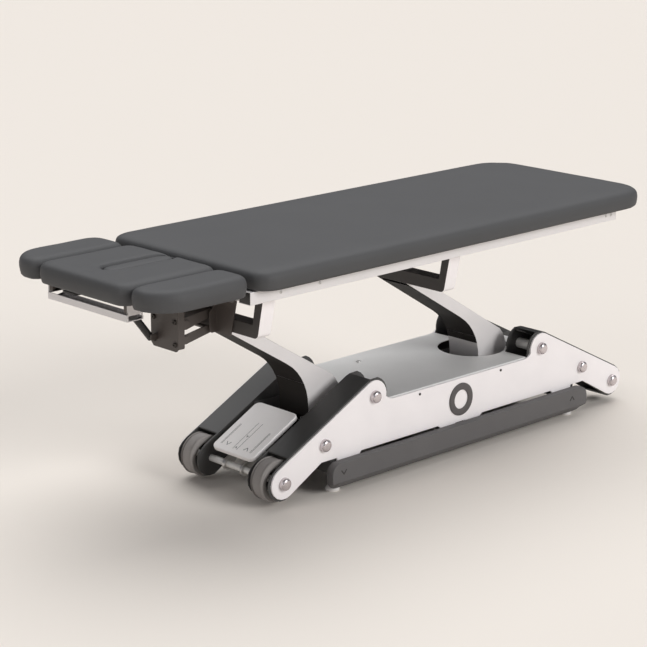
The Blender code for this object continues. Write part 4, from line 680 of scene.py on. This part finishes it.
for cad_name, shift in (("lift_arm_foot", 0), ("lift_arm_head", -ARM_SPACING)):
    pairs = [[(BASE_X + shift + x, y, z) for y in (-STRIP_HALF, STRIP_HALF)]
             for x, z in front_line]
    lining = sheet_band(cad_name + "_front_strip", pairs, STRIP_SHEET, upward=True)
    bpy.ops.object.shade_smooth_by_angle(angle=radians(40))
    # painted shade: the strip's dark coat, like the arms' fronts
    lining.data.materials.append(arm_shade_paint)
    lining.select_set(False)
    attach(lining, cad_name)


# Drive: a linear actuator in a black moulded housing lies in the spine, and its bright rod
# pushes the lever of the head arm.

# spark-textured black ABS: almost black, with a dull grained sheen
black_abs = two_tone("textured_black_abs", ("232221", "2D2B2A"), 40.0, 0.48, detail=3.0,
                     grain=(900.0, 2.0, 0.35, 0.00006))
finished("drive_tube", black_abs, edge=0.0010)
finished("drive_rod", zinc, edge=0.0008)


# Top frame: welded rectangular tube, pearl grey, on two yokes. The yokes are folded sheet, coated
# white; the white shows on their outer sides and lower rims, while the web that faces the head
# end and the inner faces get a dark umber that is painted shade.

for cad_name in ("side_rail_near", "side_rail_far", "cross_tube_head", "cross_tube_foot"):
    finished(cad_name, pearl_coat, edge=0.0014)

taupe_coat = powder_coat("dark_taupe_powder_coat", "4B4440", 0.45)
# painted shade: dark umber for the yokes' web and inner faces, where the light does not reach
yoke_shade_paint = powder_coat("yoke_painted_shade_coat", "35302E", 0.45)
YOKE_RIM = 0.02
for cad_name in ("yoke_foot", "yoke_head"):
    yoke = finished(cad_name, yoke_shade_paint, edge=0.0010)
    yoke.data.materials.append(white_coat)
    yoke_low, yoke_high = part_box(cad_name)
    # outer sides and lower rims get the real white; every other face keeps the painted shade
    for face in yoke.data.polygons:
        outward = face.normal.y * (1 if face.center.y > 0 else -1)
        lower_rim = face.normal.z < -0.4 and face.center.z < yoke_low.z + YOKE_RIM
        if outward > 0.4 or lower_rim:
            face.material_index = 1

RAIL_SCREW_RADIUS, RAIL_SCREW_DEPTH = 0.0042, 0.0018
RAIL_SCREW_X, RAIL_SCREW_RISE = (-0.784, -0.645, 0.539, 0.562), 0.001
rail_low, rail_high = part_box("side_rail_near")
rail_z = (rail_low.z + rail_high.z) / 2 + RAIL_SCREW_RISE
screw_master = socket_screw(RAIL_SCREW_RADIUS, RAIL_SCREW_DEPTH, zinc)
for side_name, side in (("near", -1), ("far", 1)):
    rail_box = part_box("side_rail_" + side_name)
    rail_face = rail_box[0].y if side < 0 else rail_box[1].y
    for number, x in enumerate(RAIL_SCREW_X):
        place = seated((BASE_X + x, rail_face, rail_z), (0, side, 0), RAIL_SCREW_DEPTH)
        placed_copy(screw_master, "rail_screw_%s_%d" % (side_name, number), place, "top_frame")
bpy.data.objects.remove(screw_master)


# Rail ends: moulded plugs of the same black plastic as the drive's housing. They are pressed into
# the open ends of the side rails, almost flush.

PLUG_DEPTH, PLUG_SET_IN, TUBE_WALLS = 0.006, 0.0028, 0.0046
bpy.ops.mesh.primitive_cube_add(
    size=1, location=(0, 0, 0),
    scale=(PLUG_DEPTH, rail_high.y - rail_low.y - TUBE_WALLS,
           rail_high.z - rail_low.z - TUBE_WALLS))
plug_master = bpy.context.object
place_in_mesh(plug_master)
plug_master.select_set(True)
bpy.ops.object.mode_set(mode="EDIT")
pick(plug_master, "edges",
     lambda m, edge: abs(edge.verts[0].co.x - edge.verts[1].co.x) < 1e-6)
bpy.ops.mesh.bevel(offset=0.0008, segments=2, affect="EDGES")
bpy.ops.object.mode_set(mode="OBJECT")
bpy.ops.object.shade_smooth_by_angle(angle=radians(40))
plug_master.data.materials.append(black_abs)
for side_name in ("near", "far"):
    rail_low, rail_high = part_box("side_rail_" + side_name)
    for end_name, end in (("head", -1), ("foot", 1)):
        middle = (rail_low + rail_high) / 2
        middle.x = (rail_low.x if end < 0 else rail_high.x) - end * PLUG_SET_IN
        placed_copy(plug_master, "rail_plug_%s_%s" % (end_name, side_name),
                    Matrix.Translation(middle), "top_frame")
bpy.data.objects.remove(plug_master)


# Boards: 10 mm birch plywood under each pad, stained black on its faces; its edge shows thin
# layers of veneer.

plywood = bpy.data.materials.new("black_backed_birch_plywood")
plywood.use_nodes = True
ply_shader = plywood.node_tree.nodes["Principled BSDF"]
ply_shader.inputs["Roughness"].default_value = 0.72
ply_where = add(plywood, "ShaderNodeTexCoord").outputs["Object"]
# veneer 1.4 mm thick, so a wave every 2.8 mm through the board's height
WAVE_MM, TURN = 2.8, 6.283
ply_layers = add(plywood, "ShaderNodeTexWave", {"bands_direction": "Z"},
                 {"Vector": ply_where, "Scale": 1000 / WAVE_MM / TURN * 2, "Distortion": 0.4})
ply_edge = add(plywood, "ShaderNodeMix", {"data_type": "RGBA"},
               {0: ply_layers.outputs["Fac"], 6: colour("2B2725"), 7: colour("3A342F")})
ply_fibre = add(plywood, "ShaderNodeMapping", inputs={"Vector": ply_where,
                                                      "Scale": (4.0, 90.0, 90.0)})
ply_grain = add(plywood, "ShaderNodeTexNoise", inputs={"Vector": ply_fibre.outputs[0],
                                                       "Scale": 1.0, "Detail": 4.0})
ply_face = add(plywood, "ShaderNodeMix", {"data_type": "RGBA"},
               {0: ply_grain.outputs[0], 6: colour("24211F"), 7: colour("322E2B")})
ply_normal = add(plywood, "ShaderNodeNewGeometry")
ply_up = add(plywood, "ShaderNodeSeparateXYZ", inputs={0: ply_normal.outputs["Normal"]})
ply_flat = add(plywood, "ShaderNodeMath", {"operation": "ABSOLUTE"}, {0: ply_up.outputs[2]})
ply_tone = add(plywood, "ShaderNodeMix", {"data_type": "RGBA"},
               {0: ply_flat.outputs[0], 6: ply_edge.outputs[2], 7: ply_face.outputs[2]})
plywood.node_tree.links.new(ply_tone.outputs[2], ply_shader.inputs["Base Color"])
finished("main_board", plywood, edge=0.0006)
finished("head_board", plywood, edge=0.0006)


# Upholstery: foam pads under taut dark grey vinyl, pulled down round every edge. The vinyl has a
# fine leather grain and a faint sheen; the pads are crowned and their corners draw in.

vinyl = bpy.data.materials.new("embossed_dark_grey_vinyl")
vinyl.use_nodes = True
vinyl_shader = vinyl.node_tree.nodes["Principled BSDF"]
vinyl_shader.inputs["Roughness"].default_value = 0.62
vinyl_shader.inputs["Specular IOR Level"].default_value = 0.35
vinyl_where = add(vinyl, "ShaderNodeTexCoord").outputs["Object"]
vinyl_cloud = add(vinyl, "ShaderNodeTexNoise", inputs={"Vector": vinyl_where, "Scale": 5.0,
                                                       "Detail": 4.0})
vinyl_tone = add(vinyl, "ShaderNodeMix", {"data_type": "RGBA"},
                 {0: vinyl_cloud.outputs[0], 6: colour("474748"), 7: colour("4D4D4E")})
vinyl.node_tree.links.new(vinyl_tone.outputs[2], vinyl_shader.inputs["Base Color"])
# the real grain is about 1 mm; it is drawn at 2.2 mm so that the render can hold it
vinyl_cells = add(vinyl, "ShaderNodeTexVoronoi", inputs={"Vector": vinyl_where,
                                                         "Scale": 1000 / 2.2})
vinyl_pores = add(vinyl, "ShaderNodeTexNoise", inputs={"Vector": vinyl_where, "Scale": 700.0,
                                                       "Detail": 3.0})
vinyl_height = add(vinyl, "ShaderNodeMath", {"operation": "MULTIPLY_ADD"},
                   {0: vinyl_cells.outputs["Distance"], 1: 0.8, 2: vinyl_pores.outputs[0]})
vinyl_relief = add(vinyl, "ShaderNodeBump", inputs={"Height": vinyl_height.outputs[0],
                                                    "Strength": 0.32, "Distance": 0.00012})
vinyl.node_tree.links.new(vinyl_relief.outputs[0], vinyl_shader.inputs["Normal"])


def read_points(mesh, kind):
    """The places or the normals of all vertices, one row each."""
    values = np.zeros(len(mesh.vertices) * 3)
    mesh.vertices.foreach_get(kind, values)
    return values.reshape(-1, 3)


def write_points(mesh, places):
    """Moves all vertices to the places given."""
    mesh.vertices.foreach_set("co", places.ravel())
    mesh.update()


# the CAD pad's lower chamfer: its top, how near a point counts as on it, how far it reaches
# in, and how much of it stays once the vinyl is pulled round the board
CHAMFER_TOP, CHAMFER_FIT, CHAMFER_REACH, CHAMFER_LEFT = 0.017, 0.0004, 0.0180, 0.35
SEAT_BAND, SEAT_SHARE, WEIGHT_STEPS, EDGE_GAIN = 0.003, 0.10, 16, 1.6
SIDE_SLACK, TOP_SLACK, SETTLE_STEPS = 0.001, 0.0015, 5


def upholstered(cad_name, piece_name, voxel, draw_in, soften, cap, crown, wrap, steps=20):
    """A pad in its vinyl: the foam block remeshed and softened, then swollen as cloth.

    The vinyl is pulled down round the board by the wrap, and the underside stays flat there.
    Nothing swells past the cap.
    """
    source = frame["nodes"][cad_name]
    low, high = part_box(cad_name)
    mesh = source.data.copy()
    shape = bmesh.new()
    shape.from_mesh(mesh)
    bmesh.ops.remove_doubles(shape, verts=shape.verts, dist=MERGE_REACH)
    full = [vert.co.xy.copy() for vert in shape.verts
            if abs(vert.co.z - low.z - CHAMFER_TOP) < CHAMFER_FIT]
    for vert in shape.verts:
        if vert.co.z < low.z + CHAMFER_TOP - 0.0005 and full:
            side_point = min(full, key=lambda point: (point - vert.co.xy).length_squared)
            if (side_point - vert.co.xy).length < CHAMFER_REACH:
                vert.co.xy = side_point.lerp(vert.co.xy, CHAMFER_LEFT)
        if vert.co.z < low.z + 0.0001:
            vert.co.z -= wrap
    low = low - Vector((0, 0, wrap))
    shape.to_mesh(mesh)
    shape.free()
    pad = bpy.data.objects.new(piece_name, mesh)
    bpy.context.scene.collection.objects.link(pad)
    mesh.materials.clear()
    pad.select_set(True)
    bpy.context.view_layer.objects.active = pad
    foam = pad.modifiers.new("foam", "REMESH")
    foam.mode = "VOXEL"
    foam.voxel_size = voxel
    foam.use_smooth_shade = True
    bpy.ops.object.modifier_apply(modifier=foam.name)
    places, normals = read_points(pad.data, "co"), read_points(pad.data, "normal")
    free = places[:, 2] > low.z + SEAT_BAND
    places[free] -= normals[free] * draw_in * np.array((1, 1, 0.5))
    write_points(pad.data, places)
    rise = (places[:, 2] - low.z) / (high.z - low.z)
    upper = pad.vertex_groups.new(name="upper")
    seat = pad.vertex_groups.new(name="seat")
    levels = (rise * EDGE_GAIN * WEIGHT_STEPS).round().clip(0, WEIGHT_STEPS)
    for level in range(WEIGHT_STEPS + 1):
        upper.add(np.flatnonzero(levels == level).tolist(), level / WEIGHT_STEPS, "REPLACE")
    seat.add(np.flatnonzero(rise < SEAT_SHARE).tolist(), 1.0, "REPLACE")
    soft = pad.modifiers.new("soft_edges", "SMOOTH")
    soft.factor = 0.5
    soft.iterations = soften
    soft.vertex_group = "upper"
    bpy.ops.object.modifier_apply(modifier=soft.name)
    skin = pad.modifiers.new("vinyl_skin", "CLOTH")
    skin.settings.quality = 4
    skin.settings.mass = 0.3
    skin.settings.tension_stiffness = 30
    skin.settings.compression_stiffness = 30
    skin.settings.bending_stiffness = 2
    skin.settings.use_pressure = True
    skin.settings.uniform_pressure_force = 4
    skin.settings.effector_weights.gravity = 0
    skin.settings.vertex_group_mass = "seat"
    skin.point_cache.frame_start = 1
    skin.point_cache.frame_end = steps
    for step in range(1, steps + 1):
        bpy.context.scene.frame_set(step)
    graph = bpy.context.evaluated_depsgraph_get()
    swollen = read_points(pad.evaluated_get(graph).data, "co")
    pad.modifiers.remove(skin)
    bpy.context.scene.frame_set(1)
    places = read_points(pad.data, "co")
    move = swollen - places
    reach = np.linalg.norm(move, axis=1, keepdims=True)
    write_points(pad.data, places + move * np.minimum(1, cap / np.maximum(reach, 1e-9)))
    places = read_points(pad.data, "co")
    middle, half = np.array((high + low) / 2), np.array((high - low) / 2)
    out = np.abs((places - middle) / half).clip(0, 1)
    rise = ((places[:, 2] - low.z) / (high.z - low.z)).clip(0, 1)
    places[:, 2] += crown * rise * (1 - out[:, 0] ** 4) * (1 - out[:, 1] ** 4)
    lowest = np.array(low) - (SIDE_SLACK, SIDE_SLACK, 0)
    highest = np.array(high) + (SIDE_SLACK, SIDE_SLACK, TOP_SLACK)
    write_points(pad.data, np.clip(places, lowest, highest))
    settle = pad.modifiers.new("settle", "SMOOTH")
    settle.factor = 0.5
    settle.iterations = SETTLE_STEPS
    bpy.ops.object.modifier_apply(modifier=settle.name)
    for group in list(pad.vertex_groups):
        pad.vertex_groups.remove(group)
    pad.data.materials.append(vinyl)
    bpy.ops.object.shade_smooth()
    pad.select_set(False)
    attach(pad, source["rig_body"])
    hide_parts(cad_name)
    return pad


# for each pad: voxel, draw_in, soften, cap, crown and wrap; the plug has no board to wrap
for cad_name, build in (("main_pad", (0.0075, 0.002, 34, 0.0015, 0.0015, 0.0098)),
                        ("arm_pad_near", (0.0048, 0.001, 40, 0.0008, 0.003, 0.0090)),
                        ("arm_pad_far", (0.0048, 0.001, 40, 0.0008, 0.003, 0.0090)),
                        ("centre_pad", (0.0048, 0.000, 30, 0.0008, 0.002, 0.0098)),
                        ("face_plug", (0.0040, 0.0016, 26, 0.0006, 0.000, 0.0))):
    upholstered(cad_name, "vinyl_" + cad_name, *build)


# Arm rest brackets, head mount, links and carrier: laser-cut and folded sheet in dark taupe
# powder coat, pinned together so that the head section drops and tilts.

for cad_name in ("arm_bracket_near", "arm_bracket_far", "head_mount", "upper_link",
                 "lower_link", "head_carrier", "head_frame"):
    finished(cad_name, taupe_coat, edge=0.0007)

CARRIER_SCREW_RADIUS, CARRIER_SCREW_DEPTH, CARRIER_FACE_X = 0.0072, 0.0046, -0.945
screw_master = socket_screw(CARRIER_SCREW_RADIUS, CARRIER_SCREW_DEPTH, black_oxide)
for number, (y, z) in enumerate(((-0.043, 0.479), (0.043, 0.479), (-0.043, 0.541),
                                 (0.043, 0.541))):
    place = seated((BASE_X + CARRIER_FACE_X, y, z), (-1, 0, 0), CARRIER_SCREW_DEPTH)
    placed_copy(screw_master, "carrier_screw_%d" % number, place, "head_carrier")
bpy.data.objects.remove(screw_master)


# Gas strut: a black cylinder with a hard-chromed rod, between the carrier and the head frame.
# It holds the head section at its tilt, and its eyes sit on pins.

# hard chrome: a clear, near-white mirror
chrome = two_tone("hard_chromed_rod", ("E2E2E2", "CFCFCF"), 120.0, 0.14, metallic=1.0)
finished("gas_cylinder", black_abs, edge=0.0008, fold=40)
finished("gas_rod", chrome, edge=0.0006, fold=40)


# Front bar and release paddle: a light folded channel across the head end with a finger gap
# above it, and the small black paddle that frees the gas strut.

bar_low, bar_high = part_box("front_bar")
BAR_SHEET, TAB_OPENING, CORNER_LEFT = 0.003, 0.0125, 0.004
# both end tabs of the channel are open above its floor
bar_mouths = []
for side in (-1, 1):
    bpy.ops.mesh.primitive_cube_add(
        size=1, location=((bar_low.x + bar_high.x) / 2, side * bar_high.y,
                          bar_low.z + BAR_SHEET + TAB_OPENING / 2),
        scale=(bar_high.x - bar_low.x - 2 * BAR_SHEET - CORNER_LEFT, 3 * BAR_SHEET,
               TAB_OPENING))
    bar_mouths.append(bpy.context.object)
bar_mouths[0].select_set(True)
bpy.ops.object.join()
bar_mouth = bpy.context.object
bar_mouth.select_set(False)
finished("front_bar", pearl_coat, edge=0.0006, cutter=bar_mouth)
finished("release_paddle", black_abs, edge=0.0010)
